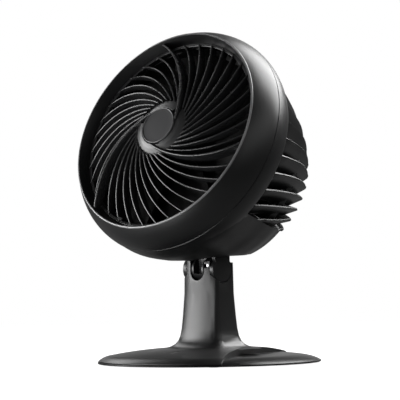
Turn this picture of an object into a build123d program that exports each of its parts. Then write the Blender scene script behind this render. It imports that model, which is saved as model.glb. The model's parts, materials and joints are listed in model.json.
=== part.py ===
from build123d import *
import math
import os

# A table-top air circulator: a round ducted head with a swirling front grille, tilting on a
# forked neck that stands on a low round base. Millimetres, +Z up, front towards -Y.
# The origin is the middle of the underside, below the neck.

# ---------------------------------------------------------------- head pose and pivot
TILT_REST = 28.0
TILT_DOWN = 28.0
TILT_UP = 27.0
PIVOT_Y = -3.0
PIVOT_Z = 102.0

# ---------------------------------------------------------------- head, measured from the lip plane
BELT_RADIUS = 128.5
PIVOT_DROP = BELT_RADIUS - 24.0
PIVOT_BACK = 129.0
BULGE_RADIUS = 52.3
SEAM_DEPTH = 34.5
SEAM_GAP = 0.2
SEAM_BEVEL = 0.5
HOUSING_END = 61.5
SHELL = 2.6
LIP_INNER_RADIUS = BELT_RADIUS - 13.6
STEP_RADIUS = BELT_RADIUS - 17.9
STEP_DEPTH = 12.4
LEDGE_DEPTH = 18.4
CAVITY_DEPTH = 6.0
DUCT_RADIUS = BELT_RADIUS - 22.5
DUCT_WALL = 2.4
BELL_RADIUS = DUCT_RADIUS + 4.0
BELL_DEPTH = 9.0
CAGE_END = 162.0
CAGE_INNER_RADIUS = 45.0

# ---------------------------------------------------------------- front grille
RIB_COUNT = 36
MAIN_EVERY = 12
RIB_WIDTH = 1.6
RIB_HEIGHTS = (11.5, 11.0, 7.0)
MAIN_RIB_WIDTH = 2.2
MAIN_RIB_HEIGHTS = (16.0, 15.0, 12.0)
GRILLE_HOOP_WIDTH = 3.8
GRILLE_GAP = 0.2
HUB_RADIUS = 34.0
HUB_RISE = 6.2
HUB_INNER_RISE = 11.2
HUB_RAMP_DROP = 3.6
HUB_RAMP_START = 54.0
HUB_RAMP_STATIONS = 7
HUB_FLOOR = -3.0
BADGE_RADIUS = 21.2
BADGE_RISE = 12.0
BADGE_GAP = 0.6
HUB_FLOOR_WALL = 4.0
BADGE_ROUND = 1.2
LOCK_TAB_ANGLE = 254.0
LOCK_TAB_INSET = 3.6
LOCK_TAB_RISE = 6.0
LOCK_STEM = (3.0, 2.4, 0.8)
LOCK_HOOK = (3.0, 5.6, 0.8)
LOCK_HOOK_SHIFT = 2.2
LOCK_HOOK_DEPTH = 2.4

# ---------------------------------------------------------------- rear cage and belly
FIN_PITCH = 10.0
FIN_FIRST = -49.2
FIN_COUNT = 27
FIN_WIDTH = 3.4
BELLY_FROM = 215.0
BELLY_TO = 325.0
BELLY_WALL = 3.0
BELLY_EDGE_DEPTH = 11.0
BELLY_DROP = 10.0
BELLY_BACK_ROUND = 140.0
SADDLE_RISE = 15.5
CHIN_STEP = 4.2
CHIN_LOW_FROM = 47.0
CHIN_LEVEL_FROM = 28.0
HOOP_DEPTH = 117.0
HOOP_WIDTH = 8.0
HOOP_WALL = 3.0
HOOP_INSET = 36.5
CAGE_HUB_WALL = 3.0
CAGE_HUB_LENGTH = 10.0

# ---------------------------------------------------------------- motor and fan
SHAFT_RADIUS = 3.0
SHAFT_CLEARANCE = 0.05
BLADE_COUNT = 7
BLADE_TIP_RADIUS = DUCT_RADIUS - 4.0
BLADE_THICKNESS = 2.4
BLADE_CAMBER = 0.07
FAN_FRONT = 24.0
BLADE_DEPTH = FAN_FRONT + 17.0
FAN_HUB_RADIUS = 32.0
FAN_HUB_DEPTH = 30.0
FAN_HUB_WALL = 2.6
BEARING_LENGTH = 10.0
BEARING_RADIUS = 9.0
STATOR_FRONT = 82.0
STATOR_LENGTH = 24.0
STATOR_RADIUS = 38.0
STATOR_BORE = 20.0
AIR_GAP = 0.5
END_RING = 4.0
BRACKET_WALL = 2.5
BRACKET_DEPTH = 14.0
STATOR_BOLT_RADIUS = 1.6
COIL_LENGTH = 7.0
COIL_INNER = 22.5
COIL_OUTER = 33.0
POST_CIRCLE = 28.0
POST_RADIUS = 4.5
SCREW_RADIUS = 1.8
SCREW_HEAD_RADIUS = 3.4
SCREW_HEAD = 2.4

# ---------------------------------------------------------------- rear cover, switch and knob
COVER_WALL = 2.5
COVER_FLANGE = 3.0
COVER_SKIRT = 14.0
COVER_LAP = 2.4
MOTOR_POST_ANGLES = (45, 135, 225, 315)
MOTOR_SCREW_LENGTH = 16.0
SWITCH_SIZE = 28.0
SWITCH_LENGTH = 13.0
SWITCH_SHAFT_RADIUS = 3.0
SWITCH_BORE = 8.0
SWITCH_TAG = (4.0, 0.8)
SWITCH_TAG_LENGTH = 6.0
SWITCH_TAG_PITCH = 8.0
BUSH_RADIUS = 5.0
BUSH_PROUD = 2.0
KNOB_RADIUS = 19.0
KNOB_HEIGHT = 17.0
KNOB_DISC = 6.0
KNOB_GAP = 0.6
KNOB_BORE = 10.0
GRIP_WIDTH = 7.0
GRIP_INSET = 4.0
GRIP_CHAMFER = 0.8

# ---------------------------------------------------------------- neck and tilt joint
NECK_HALF_X = 24.0
NECK_HALF_Y = 19.6
NECK_BACK = 0.9
NECK_CROWN = 6.5
NECK_CORNER = 5.0
NECK_WALL = 3.0
NECK_SOLID_FROM = 84.0
CHEEK_INNER = 8.9
CHEEK_OUTER = 16.6
JOINT_SIDE_GAP = 0.4
JOINT_SWING_GAP = 0.8
TONGUE_HALF = 8.2
TONGUE_RADIUS = 14.5
TONGUE_WALL = 2.5
TONGUE_POCKET = 9.0
TONGUE_SILL = 4.5
EAR_RADIUS = 13.2
EAR_SHANK_HALF = 9.8
EAR_CAP = 1.8
NECK_TOP_RADIUS = 14.8
NOTCH_HALF = 10.0
NOTCH_BOTTOM = 90.5
NOTCH_DEPTH = 9.0
BOLT_RADIUS = 3.0
BOLT_CLEARANCE = 0.08
BOLT_HEAD_RADIUS = 5.5
BOLT_HEAD = 2.6
BOLT_HEAD_ROOM = 0.6
BOLT_END_GAP = 0.3
WASHER_RADIUS = 9.0
BRACKET_PLATE = 3.0
BRACKET_HALF_X = 27.0
BRACKET_HALF_Y = 18.0
BRACKET_FLANGE = 8.0
STOP_PIN_X = 14.2
STOP_PIN_RADIUS = 1.3
STOP_PIN_RECESS = 1.6
STOP_PIN_RISE = 5.0
STOP_PIN_LENGTH = 9.0
SIDE_SLOT = 4.4
SIDE_SLOT_SHIFT = 0.8
SIDE_SLOT_RISE = 4.2

# ---------------------------------------------------------------- base
BASE_RADIUS = 121.0
BASE_LOBE_HEIGHT = 9.8
BASE_FLAT_RADIUS = BASE_RADIUS - 29.0
BASE_EDGE = 0.8
BASE_RIM_LOW = 2.6
BASE_RIM_HIGH = 3.6
BASE_SHELL = 2.4
SKIRT_NECK_HEIGHT = 17.6
SKIRT_NECK_RADIUS = 44.0
SKIRT_SHOULDER_RADIUS = BASE_RADIUS - 15.0
SKIRT_SHOULDER_HEIGHT = 10.8
SKIRT_FRONT_ANGLE = 42.6
SKIRT_REAR_ANGLE = 86.0
SKIRT_SAGITTA = 11.5
PLATE_RADIUS = BASE_RADIUS - 5.0
PLATE_WALL = 1.4
PLATE_LOW = 1.4
PLATE_GAP = 0.4
PLATE_LEDGE = 3.0
PLATE_BOSS_RADIUS = 5.0
FOOT_RADIUS = 7.0
FOOT_HEIGHT = 2.2
FOOT_CIRCLE = BASE_RADIUS - 29.0
FOOT_COUNT = 4
FOOT_FIRST = 45.0

LIP = Location((0, PIVOT_Y, PIVOT_Z), (90 - TILT_REST, 0, 0)) * Location((0, PIVOT_DROP, PIVOT_BACK))
PIVOT = Location((0, PIVOT_Y, PIVOT_Z))


# ---------------------------------------------------------------- helpers
def ring_section(*edges):
    """A closed outline of (radius, height) edges, ready to spin about Z."""
    return Plane.XZ * make_face(Wire(edges))


def spin(section, angle=360.0):
    return revolve(section, Axis.Z, angle)


def tube(inner, outer, low, high):
    """A ring or, with no inner radius, a disc between two heights."""
    solid = Pos(0, 0, low) * extrude(Circle(outer), high - low)
    if inner > 0:
        solid -= Pos(0, 0, low) * extrude(Circle(inner), high - low)
    return solid


def x_disc(radius, start, end):
    """A cylinder along X between two X values, centred on the X axis."""
    return Pos(start, 0, 0) * Rot(0, 90, 0) * extrude(Circle(radius), end - start)


def polar(radius, angle, height=0.0):
    turn = math.radians(angle)
    return Vector(radius * math.cos(turn), radius * math.sin(turn), height)


def sector(start, end, reach, low, high):
    """A wedge between two angles about Z."""
    middle = (start + end) / 2
    far = reach / math.cos(math.radians((end - start) / 4))
    points = [(0, 0)]
    for angle in (start, (start + middle) / 2, middle, (middle + end) / 2, end):
        point = polar(far * 1.05, angle)
        points.append((point.X, point.Y))
    return Pos(0, 0, low) * extrude(make_face(Polyline(*points, close=True)), high - low)


def around(count, first, pitch, shape):
    return [Rot(0, 0, first + i * pitch) * shape for i in range(count)]


def bulge(depth, inset=0.0):
    """Radius of the head's round belt at a depth behind the lip, less an inset along its normal."""
    centre = BELT_RADIUS - BULGE_RADIUS
    return centre + math.sqrt((BULGE_RADIUS - inset) ** 2 - (depth - SEAM_DEPTH) ** 2)


def bulge_arc(start, end, inset=0.0):
    middle = (start + end) / 2
    points = [(bulge(depth, inset), -depth) for depth in (start, middle, end)]
    return ThreePointArc(*points)


def save(shape, name):
    solids = shape.solids()
    keep = solids[0] if len(solids) == 1 else Compound(children=list(solids))
    export_step(keep, f"parts/{name}.step")


# ---------------------------------------------------------------- head shells
HOUSING_SCREW_CIRCLE = BELT_RADIUS - 11.1
HOUSING_SCREW_ANGLES = (-13, 47, 107, 167)
HOUSING_BOSS_RADIUS = 4.2
HOUSING_BOSS_LENGTH = SEAM_DEPTH - CAVITY_DEPTH - 5.0
HOUSING_PILOT_LENGTH = HOUSING_BOSS_LENGTH - 7.0


def front_ring():
    """Lip, outer belt to the seam, and the wall and ledge that the grille drops onto."""
    seam = SEAM_DEPTH - SEAM_GAP / 2
    skin_end = bulge(seam, SHELL)
    wall_outer = STEP_RADIUS + DUCT_WALL
    section = ring_section(
        Line((LIP_INNER_RADIUS, 0), (bulge(0.6) - 0.5, 0)),
        Line((bulge(0.6) - 0.5, 0), (bulge(0.6), -0.6)),
        bulge_arc(0.6, seam - SEAM_BEVEL),
        Line((bulge(seam - SEAM_BEVEL), SEAM_BEVEL - seam), (bulge(seam) - SEAM_BEVEL, -seam)),
        Line((bulge(seam) - SEAM_BEVEL, -seam), (skin_end, -seam)),
        bulge_arc(seam, CAVITY_DEPTH, SHELL),
        Line((bulge(CAVITY_DEPTH, SHELL), -CAVITY_DEPTH), (wall_outer, -CAVITY_DEPTH - 1.5)),
        Line((wall_outer, -CAVITY_DEPTH - 1.5), (wall_outer, -LEDGE_DEPTH - DUCT_WALL)),
        Line((wall_outer, -LEDGE_DEPTH - DUCT_WALL), (DUCT_RADIUS + DUCT_WALL, -LEDGE_DEPTH - DUCT_WALL)),
        Line((DUCT_RADIUS + DUCT_WALL, -LEDGE_DEPTH - DUCT_WALL), (DUCT_RADIUS + DUCT_WALL, -seam)),
        Line((DUCT_RADIUS + DUCT_WALL, -seam), (DUCT_RADIUS, -seam)),
        Line((DUCT_RADIUS, -seam), (DUCT_RADIUS, -LEDGE_DEPTH)),
        Line((DUCT_RADIUS, -LEDGE_DEPTH), (STEP_RADIUS, -LEDGE_DEPTH)),
        Line((STEP_RADIUS, -LEDGE_DEPTH), (STEP_RADIUS, -STEP_DEPTH)),
        Line((STEP_RADIUS, -STEP_DEPTH), (LIP_INNER_RADIUS, 0)),
    )
    ring = spin(section)
    place = Pos(HOUSING_SCREW_CIRCLE, 0, -seam)
    boss = place * extrude(Circle(HOUSING_BOSS_RADIUS), HOUSING_BOSS_LENGTH)
    pilot = place * extrude(Circle(SCREW_RADIUS), HOUSING_PILOT_LENGTH)
    for angle in HOUSING_SCREW_ANGLES:
        ring += Rot(0, 0, angle) * boss
    for angle in HOUSING_SCREW_ANGLES:
        ring -= Rot(0, 0, angle) * pilot
    return ring


def belt_section():
    """The rear half of the belt, its rear flange and the mouth of the duct."""
    seam = SEAM_DEPTH + SEAM_GAP / 2
    inner_end = HOUSING_END - SHELL
    return ring_section(
        Line((DUCT_RADIUS, -seam), (DUCT_RADIUS + DUCT_WALL, -seam)),
        Line((DUCT_RADIUS + DUCT_WALL, -seam), (DUCT_RADIUS + DUCT_WALL, BELL_DEPTH - HOUSING_END)),
        Line((DUCT_RADIUS + DUCT_WALL, BELL_DEPTH - HOUSING_END), (BELL_RADIUS + 2, -inner_end)),
        Line((BELL_RADIUS + 2, -inner_end), (bulge(inner_end, SHELL), -inner_end)),
        bulge_arc(inner_end, seam, SHELL),
        Line((bulge(seam, SHELL), -seam), (bulge(seam) - SEAM_BEVEL, -seam)),
        Line((bulge(seam) - SEAM_BEVEL, -seam), (bulge(seam + SEAM_BEVEL), -seam - SEAM_BEVEL)),
        bulge_arc(seam + SEAM_BEVEL, HOUSING_END - 1),
        Line((bulge(HOUSING_END - 1), 1 - HOUSING_END), (bulge(HOUSING_END) - 1, -HOUSING_END)),
        Line((bulge(HOUSING_END) - 1, -HOUSING_END), (BELL_RADIUS, -HOUSING_END)),
        ThreePointArc(
            (BELL_RADIUS, -HOUSING_END),
            (DUCT_RADIUS + 1.1, -HOUSING_END + 3.6),
            (DUCT_RADIUS, BELL_DEPTH - HOUSING_END),
        ),
        Line((DUCT_RADIUS, BELL_DEPTH - HOUSING_END), (DUCT_RADIUS, -seam)),
    )


# How deep behind the lip, and how far inside the belt's radius the belly's lowest line runs.
BELLY_OUTLINE = (
    (36.0, 0.1),
    (43.0, 0.0),
    (50.0, 0.4),
    (59.0, 2.3),
    (68.0, 5.5),
    (80.0, 10.1),
    (97.0, 16.7),
    (111.0, 21.4),
    (120.0, 25.2),
    (130.0, 29.8),
    (140.0, 37.0),
    (149.0, 44.0),
    (157.0, 50.0),
    (CAGE_END, 60.5),
)


def belly_envelope(inset, ahead=0.0):
    """The round form the belly lies on; its axis is dropped, so the belly deepens towards the chin."""
    outline = []
    for depth, drop in BELLY_OUTLINE:
        back = inset if depth > BELLY_BACK_ROUND else 0.0
        outline.append((BELT_RADIUS - BELLY_DROP - drop - inset, back - depth))
    start = ahead - BELLY_OUTLINE[0][0]
    outline[0] = (outline[0][0], start)
    edges = [
        Line((0, start), outline[0]),
        Spline(*outline),
        Line(outline[-1], (0, outline[-1][1])),
        Line((0, outline[-1][1]), (0, start)),
    ]
    return Pos(0, -BELLY_DROP, 0) * spin(ring_section(*edges))


def above_saddle(rise):
    """Everything above the saddle: level over the neck and a little lower under the chin."""
    reach = 3 * BELT_RADIUS
    chin = rise - CHIN_STEP
    outline = Polyline(
        (-reach, chin),
        (-CHIN_LOW_FROM, chin),
        (-CHIN_LEVEL_FROM, rise),
        (reach, rise),
        (reach, reach),
        (-reach, reach),
        close=True,
    )
    plane = Plane(origin=(-reach, 0, 0), x_dir=(0, 1, 0), z_dir=(1, 0, 0))
    block = extrude(plane * make_face(outline), 2 * reach)
    return LIP.inverse() * PIVOT * block


def bracket_opening(extra):
    """The rectangular well in the belly floor that takes the tilt bracket."""
    half_x = BRACKET_HALF_X + extra
    half_y = BRACKET_HALF_Y + extra
    return RectangleRounded(2 * half_x, 2 * half_y, 4 + extra)


BELLY_REACH = BELT_RADIUS + 20.0


def rear_housing():
    """Belt, flange and belly; the belly is a closed scoop with a flat floor over the neck."""
    housing = spin(belt_section())
    low = -CAGE_END - 5
    centre = tube(0, CAGE_INNER_RADIUS + 2.6, low, -HOUSING_END)
    wedge = sector(BELLY_FROM, BELLY_TO, BELLY_REACH, low, -BELLY_OUTLINE[0][0])
    edge_turn = math.degrees(BELLY_WALL / 100)
    outer = belly_envelope(0) & above_saddle(SADDLE_RISE)
    inner = belly_envelope(BELLY_WALL, 1) & above_saddle(SADDLE_RISE + BELLY_WALL)
    shell = ((outer - inner) & wedge) - centre
    cheeks = sector(BELLY_FROM, BELLY_FROM + edge_turn, BELLY_REACH, low, -HOUSING_END)
    cheeks += sector(BELLY_TO - edge_turn, BELLY_TO, BELLY_REACH, low, -HOUSING_END)
    sides = ((outer - belly_envelope(BELLY_EDGE_DEPTH, 1)) & cheeks) - centre
    opening = PIVOT * Pos(0, 0, SADDLE_RISE - 1) * extrude(bracket_opening(JOINT_SIDE_GAP), BELLY_WALL + 2)
    housing = housing + shell + sides - LIP.inverse() * opening
    seam = SEAM_DEPTH + SEAM_GAP / 2
    boss = Pos(HOUSING_SCREW_CIRCLE, 0, -HOUSING_END + SHELL) * extrude(
        Circle(HOUSING_BOSS_RADIUS), HOUSING_END - SHELL - seam
    )
    hole = Pos(HOUSING_SCREW_CIRCLE, 0, -HOUSING_END) * extrude(Circle(SCREW_RADIUS), HOUSING_END - seam)
    sink = Pos(HOUSING_SCREW_CIRCLE, 0, -HOUSING_END) * extrude(Circle(SCREW_HEAD_RADIUS), SCREW_HEAD)
    for angle in HOUSING_SCREW_ANGLES:
        housing += Rot(0, 0, angle) * boss
    for angle in HOUSING_SCREW_ANGLES:
        housing -= Rot(0, 0, angle) * hole
        housing -= Rot(0, 0, angle) * sink
    for x, y in BRACKET_SCREW_PLACES:
        bore = PIVOT * Pos(x, y, SADDLE_RISE - 1) * extrude(Circle(SCREW_RADIUS), BELLY_WALL + 2)
        housing -= LIP.inverse() * bore
    return housing


def housing_screws():
    depth = HOUSING_END - SCREW_HEAD
    reach = SEAM_DEPTH - HOUSING_PILOT_LENGTH + 4.5
    shank = Pos(HOUSING_SCREW_CIRCLE, 0, -depth) * extrude(Circle(SCREW_RADIUS), depth - reach)
    head = Pos(HOUSING_SCREW_CIRCLE, 0, -HOUSING_END) * extrude(Circle(SCREW_HEAD_RADIUS), SCREW_HEAD)
    screw = shank + head
    return Compound(children=[Rot(0, 0, angle) * screw for angle in HOUSING_SCREW_ANGLES])


# ---------------------------------------------------------------- front grille
RIB_INNER = polar(22.7, 25.0)
RIB_MIDDLE = polar(54.0, 81.5)
RIB_REACH = 60.0
RIB_OUTER = polar(STEP_RADIUS + 1.7, 113.6)


def rib_plan(width):
    path = ThreePointArc(RIB_INNER, RIB_MIDDLE, RIB_OUTER)
    return SlotArc(path, width)


def dome_band(points, heights, inner, outer):
    """A domed ring whose front face passes through three (radius, height) points, and its depth there."""
    front = ThreePointArc(*points)
    low = [(radius, height - depth) for (radius, height), depth in zip(points, heights)]
    band = spin(ring_section(
        front,
        Line(points[2], low[2]),
        ThreePointArc(low[2], low[1], low[0]),
        Line(low[0], points[0]),
    ))
    return band & tube(inner, outer, -RIB_REACH, RIB_REACH)


def grille_rib():
    """One plain rib, deep and thin, from the hub edge to the hoop."""
    front = ((20, 8.0), (75, 0.6), (STEP_RADIUS + 3.4, -14.0))
    band = dome_band(front, RIB_HEIGHTS, HUB_RADIUS - 1.5, STEP_RADIUS - 0.8)
    blade = Pos(0, 0, -RIB_REACH) * extrude(rib_plan(RIB_WIDTH), 2 * RIB_REACH)
    return blade & band & bowl_clip()


def bowl_clip():
    """The room inside the ring's sloping wall, less a running gap."""
    foot = STEP_RADIUS - GRILLE_GAP
    mouth = LIP_INNER_RADIUS - GRILLE_GAP
    return spin(ring_section(
        Line((0, -LEDGE_DEPTH), (foot, -LEDGE_DEPTH)),
        Line((foot, -LEDGE_DEPTH), (foot, -STEP_DEPTH)),
        Line((foot, -STEP_DEPTH), (mouth, 0)),
        Line((mouth, 0), (mouth, 30)),
        Line((mouth, 30), (0, 30)),
        Line((0, 30), (0, -LEDGE_DEPTH)),
    ))


def main_rib():
    """One of the three proud ribs that start at the badge and reach out to the lip."""
    front = ((18, 12.4), (75, 6.0), (LIP_INNER_RADIUS + 1.1, -3.2))
    band = dome_band(front, MAIN_RIB_HEIGHTS, BADGE_RADIUS + BADGE_GAP + 0.4, LIP_INNER_RADIUS)
    blade = Pos(0, 0, -RIB_REACH) * extrude(rib_plan(MAIN_RIB_WIDTH), 2 * RIB_REACH)
    return blade & band & bowl_clip()


def hub_ramp():
    """A third of the hub ring: highest beside its main rib and falling away round the badge."""
    span = MAIN_EVERY * 360.0 / RIB_COUNT
    inner = BADGE_RADIUS + BADGE_GAP
    sections = []
    for i in range(HUB_RAMP_STATIONS):
        part = i / (HUB_RAMP_STATIONS - 1)
        drop = HUB_RAMP_DROP * part
        angle = HUB_RAMP_START + span * part
        corners = [
            polar(inner, angle, HUB_FLOOR),
            polar(HUB_RADIUS, angle, HUB_FLOOR),
            polar(HUB_RADIUS, angle, HUB_RISE - drop),
            polar(inner, angle, HUB_INNER_RISE - drop * 0.5),
        ]
        sections.append(Wire(Polyline(*corners, close=True).edges()))
    return Solid.make_loft(sections, ruled=True)


def front_grille():
    plain = grille_rib()
    proud = main_rib()
    pitch = 360.0 / RIB_COUNT
    pieces = []
    for i in range(RIB_COUNT):
        shape = proud if i % MAIN_EVERY == 0 else plain
        pieces.append(Rot(0, 0, i * pitch) * shape)
    for i in range(RIB_COUNT // MAIN_EVERY):
        pieces.append(Rot(0, 0, i * MAIN_EVERY * pitch) * hub_ramp())
    pieces.append(tube(0, BADGE_RADIUS + BADGE_GAP + 1.0, HUB_FLOOR, HUB_FLOOR + HUB_FLOOR_WALL))
    hoop = tube(STEP_RADIUS - GRILLE_HOOP_WIDTH, STEP_RADIUS - GRILLE_GAP, -LEDGE_DEPTH, -STEP_DEPTH)
    return hoop + pieces


def hub_badge():
    """A plain disc with a soft dome, set in the hub with a fine groove round it."""
    disc = tube(0, BADGE_RADIUS, HUB_FLOOR + HUB_FLOOR_WALL, BADGE_RISE)
    return fillet(disc.edges().group_by(Axis.Z)[-1], BADGE_ROUND)


def grille_lock_tab():
    """The small hooked tab that keeps the grille from turning in the ring."""
    place = STEP_RADIUS - LOCK_TAB_INSET
    stem = Pos(place, 0, -STEP_DEPTH) * extrude(RectangleRounded(*LOCK_STEM), LOCK_TAB_RISE)
    hook_low = LOCK_TAB_RISE - LOCK_HOOK_DEPTH - STEP_DEPTH
    hook = Pos(place, LOCK_HOOK_SHIFT, hook_low) * extrude(RectangleRounded(*LOCK_HOOK), LOCK_HOOK_DEPTH)
    return Rot(0, 0, LOCK_TAB_ANGLE) * (stem + hook)


# ---------------------------------------------------------------- rear cage
# Depth behind the lip and distance inside the belt's radius of the outer edge, the same of the
# inner edge, and the turn about the axis.
FIN_STATIONS = (
    (HOUSING_END, 9.0, HOUSING_END, 19.5, 0.0),
    (97.0, 21.0, 95.0, 31.5, 5.5),
    (119.0, 29.1, 115.5, 39.0, 9.3),
    (137.0, 38.5, 131.0, 47.0, 12.4),
    (149.0, 46.5, 142.0, 54.0, 14.5),
    (157.0, 52.0, 148.5, 59.5, 16.0),
    (CAGE_END, 62.5, 152.5, 68.5, 17.5),
    (CAGE_END, BELT_RADIUS - CAGE_INNER_RADIUS + 1.2, 152.5, BELT_RADIUS - CAGE_INNER_RADIUS + 1.2, 19.0),
)
HOOP_TURN = 9.0


def cage_fin():
    """One thick fin that swirls as it runs back and folds in over the rear face."""
    sections = []
    for depth_out, drop_out, depth_in, drop_in, turn in FIN_STATIONS:
        side = polar(FIN_WIDTH / 2, turn + 90)
        outer = polar(BELT_RADIUS - drop_out, turn, -depth_out)
        inner = polar(BELT_RADIUS - drop_in, turn, -depth_in)
        corners = [outer - side * 0.85, outer + side * 0.85, inner + side, inner - side]
        sections.append(Wire(Polyline(*corners, close=True).edges()))
    return Solid.make_loft(sections, ruled=True)


def cage_cell():
    """A fin with its own length of the inner hoop, so that equal cells close up side by side."""
    half = FIN_PITCH / 2
    inner = BELT_RADIUS - HOOP_INSET - HOOP_WALL / 2
    low = -HOOP_DEPTH - HOOP_WIDTH / 2
    hoop = tube(inner, inner + HOOP_WALL, low, low + HOOP_WIDTH)
    hoop &= sector(HOOP_TURN - half, HOOP_TURN + half, BELT_RADIUS, low, low + HOOP_WIDTH)
    cell = cage_fin() + hoop
    return cell - tube(0, CAGE_INNER_RADIUS, -CAGE_END, -HOUSING_END)


def rear_grille():
    """Equal fins round a plain hub ring; those that meet the belly end on its cheeks."""
    belly = sector(BELLY_FROM, BELLY_TO, BELLY_REACH, -CAGE_END - 5, -HOUSING_END + 5)
    cell = cage_cell()
    hub = tube(CAGE_INNER_RADIUS - CAGE_HUB_WALL, CAGE_INNER_RADIUS, -CAGE_END, -CAGE_END + CAGE_HUB_LENGTH)
    solids = [hub]
    for i in range(FIN_COUNT):
        placed = Rot(0, 0, FIN_FIRST + i * FIN_PITCH) * cell
        if i < 2 or i >= FIN_COUNT - 2:
            placed = placed - belly
        solids += list(placed.solids())
    return Compound(children=solids)


# ---------------------------------------------------------------- rear cover, switch and knob
COVER_RADIUS = CAGE_INNER_RADIUS - CAGE_HUB_WALL - 0.2
COVER_BACK = CAGE_END + COVER_FLANGE
REAR_BRACKET_BACK = STATOR_FRONT + STATOR_LENGTH + BRACKET_DEPTH


def rear_cover():
    """The round cover that closes the cage's centre; its posts carry the motor."""
    wall = tube(COVER_RADIUS - COVER_WALL, COVER_RADIUS, -CAGE_END, COVER_SKIRT - CAGE_END)
    back = tube(0, COVER_RADIUS + COVER_LAP, -COVER_BACK, -CAGE_END)
    post = Pos(POST_CIRCLE, 0, -CAGE_END) * extrude(Circle(POST_RADIUS), CAGE_END - REAR_BRACKET_BACK)
    pilot = Pos(POST_CIRCLE, 0, -REAR_BRACKET_BACK - MOTOR_SCREW_LENGTH) * extrude(
        Circle(SCREW_RADIUS), MOTOR_SCREW_LENGTH
    )
    cover = back + wall
    for angle in MOTOR_POST_ANGLES:
        cover += Rot(0, 0, angle) * post
    for angle in MOTOR_POST_ANGLES:
        cover -= Rot(0, 0, angle) * pilot
    cover -= tube(0, BUSH_RADIUS + 0.1, -COVER_BACK, -CAGE_END)
    return cover


def speed_switch():
    """A rotary switch with its threaded bush through the cover."""
    body = Pos(0, 0, -CAGE_END) * extrude(RectangleRounded(SWITCH_SIZE, SWITCH_SIZE, 3), SWITCH_LENGTH)
    bush = tube(0, BUSH_RADIUS, -COVER_BACK - BUSH_PROUD, -CAGE_END)
    bore = tube(0, SWITCH_SHAFT_RADIUS + SHAFT_CLEARANCE, -COVER_BACK - BUSH_PROUD, SWITCH_BORE - CAGE_END)
    switch = body + bush - bore
    for x in (-SWITCH_TAG_PITCH, 0, SWITCH_TAG_PITCH):
        switch += Pos(x, 0, -CAGE_END + SWITCH_LENGTH) * extrude(Rectangle(*SWITCH_TAG), SWITCH_TAG_LENGTH)
    return switch


def switch_shaft():
    return tube(0, SWITCH_SHAFT_RADIUS, -COVER_BACK - KNOB_GAP - KNOB_BORE, SWITCH_BORE - 0.5 - CAGE_END)


def speed_knob():
    """A round knob with a raised pointer grip across it."""
    front = -COVER_BACK - BUSH_PROUD - KNOB_GAP
    knob = tube(0, KNOB_RADIUS, front - KNOB_DISC, front)
    outline = RectangleRounded(2 * KNOB_RADIUS - GRIP_INSET, GRIP_WIDTH, GRIP_WIDTH / 2 - 0.1)
    knob += Pos(0, 0, front - KNOB_HEIGHT) * extrude(outline, KNOB_HEIGHT - KNOB_DISC)
    knob = chamfer(knob.edges().group_by(Axis.Z)[0], GRIP_CHAMFER)
    knob -= tube(0, SWITCH_SHAFT_RADIUS, -COVER_BACK - KNOB_GAP - KNOB_BORE, front)
    return knob


# ---------------------------------------------------------------- fan and motor
BLADE_STATIONS = (
    (26.0, 50.0, 34.0, 0.0),
    (55.0, 76.0, 22.0, 6.0),
    (80.0, 100.0, 16.0, 14.0),
    (BLADE_TIP_RADIUS + 4.0, 120.0, 13.0, 24.0),
)


def fan_blade():
    """One wide cambered blade, pitched about its radial axis and trimmed to the tip circle."""
    sections = []
    for radius, chord, pitch, sweep in BLADE_STATIONS:
        camber = chord * BLADE_CAMBER
        half = BLADE_THICKNESS / 2
        tip = chord / 2
        outline = Wire([
            ThreePointArc((-tip, -half), (0, camber - half), (tip, -half)),
            Line((tip, -half), (tip, half)),
            ThreePointArc((tip, half), (0, camber + half), (-tip, half)),
            Line((-tip, half), (-tip, -half)),
        ])
        plane = Plane(origin=(radius, sweep, -BLADE_DEPTH), x_dir=(0, 1, 0), z_dir=(1, 0, 0))
        sections.append(plane * Rot(0, 0, pitch) * outline)
    blade = Solid.make_loft([Wire(s.edges()) for s in sections])
    return blade & tube(FAN_HUB_RADIUS - FAN_HUB_WALL / 2, BLADE_TIP_RADIUS, -80, 0)


def propeller():
    """Wide blades on a cupped hub with a bored boss."""
    back = FAN_FRONT + FAN_HUB_DEPTH
    inner = FAN_HUB_RADIUS - FAN_HUB_WALL
    hub = spin(ring_section(
        Line((0, -FAN_FRONT + 2), (16, -FAN_FRONT + 2)),
        ThreePointArc((16, -FAN_FRONT + 2), (28, -FAN_FRONT - 1.5), (FAN_HUB_RADIUS, -FAN_FRONT - 10)),
        Line((FAN_HUB_RADIUS, -FAN_FRONT - 10), (FAN_HUB_RADIUS, -back)),
        Line((FAN_HUB_RADIUS, -back), (inner, -back)),
        Line((inner, -back), (inner, -FAN_FRONT - 10)),
        ThreePointArc((inner, -FAN_FRONT - 10), (26, -FAN_FRONT - 3.5), (15, -FAN_FRONT - 0.6)),
        Line((15, -FAN_FRONT - 0.6), (0, -FAN_FRONT - 0.6)),
        Line((0, -FAN_FRONT - 0.6), (0, -FAN_FRONT + 2)),
    ))
    boss = tube(0, 8.0, -back + 4, -FAN_FRONT - 0.6)
    fan = hub + boss
    fan = fan + around(BLADE_COUNT, 20, 360.0 / BLADE_COUNT, fan_blade())
    return fan - tube(0, SHAFT_RADIUS, -back, -FAN_FRONT + 3)


def rotor_shaft():
    return tube(0, SHAFT_RADIUS, -REAR_BRACKET_BACK - 2, -FAN_FRONT + 7)


def spinner_nut():
    """The nut that keeps the propeller on its shaft."""
    nut = Pos(0, 0, -FAN_FRONT + 2) * extrude(RegularPolygon(7.0, 6), 4)
    nut += tube(0, 5.0, -FAN_FRONT + 6, -FAN_FRONT + 8.5)
    return nut - tube(0, SHAFT_RADIUS, -FAN_FRONT + 2, -FAN_FRONT + 7)


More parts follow.
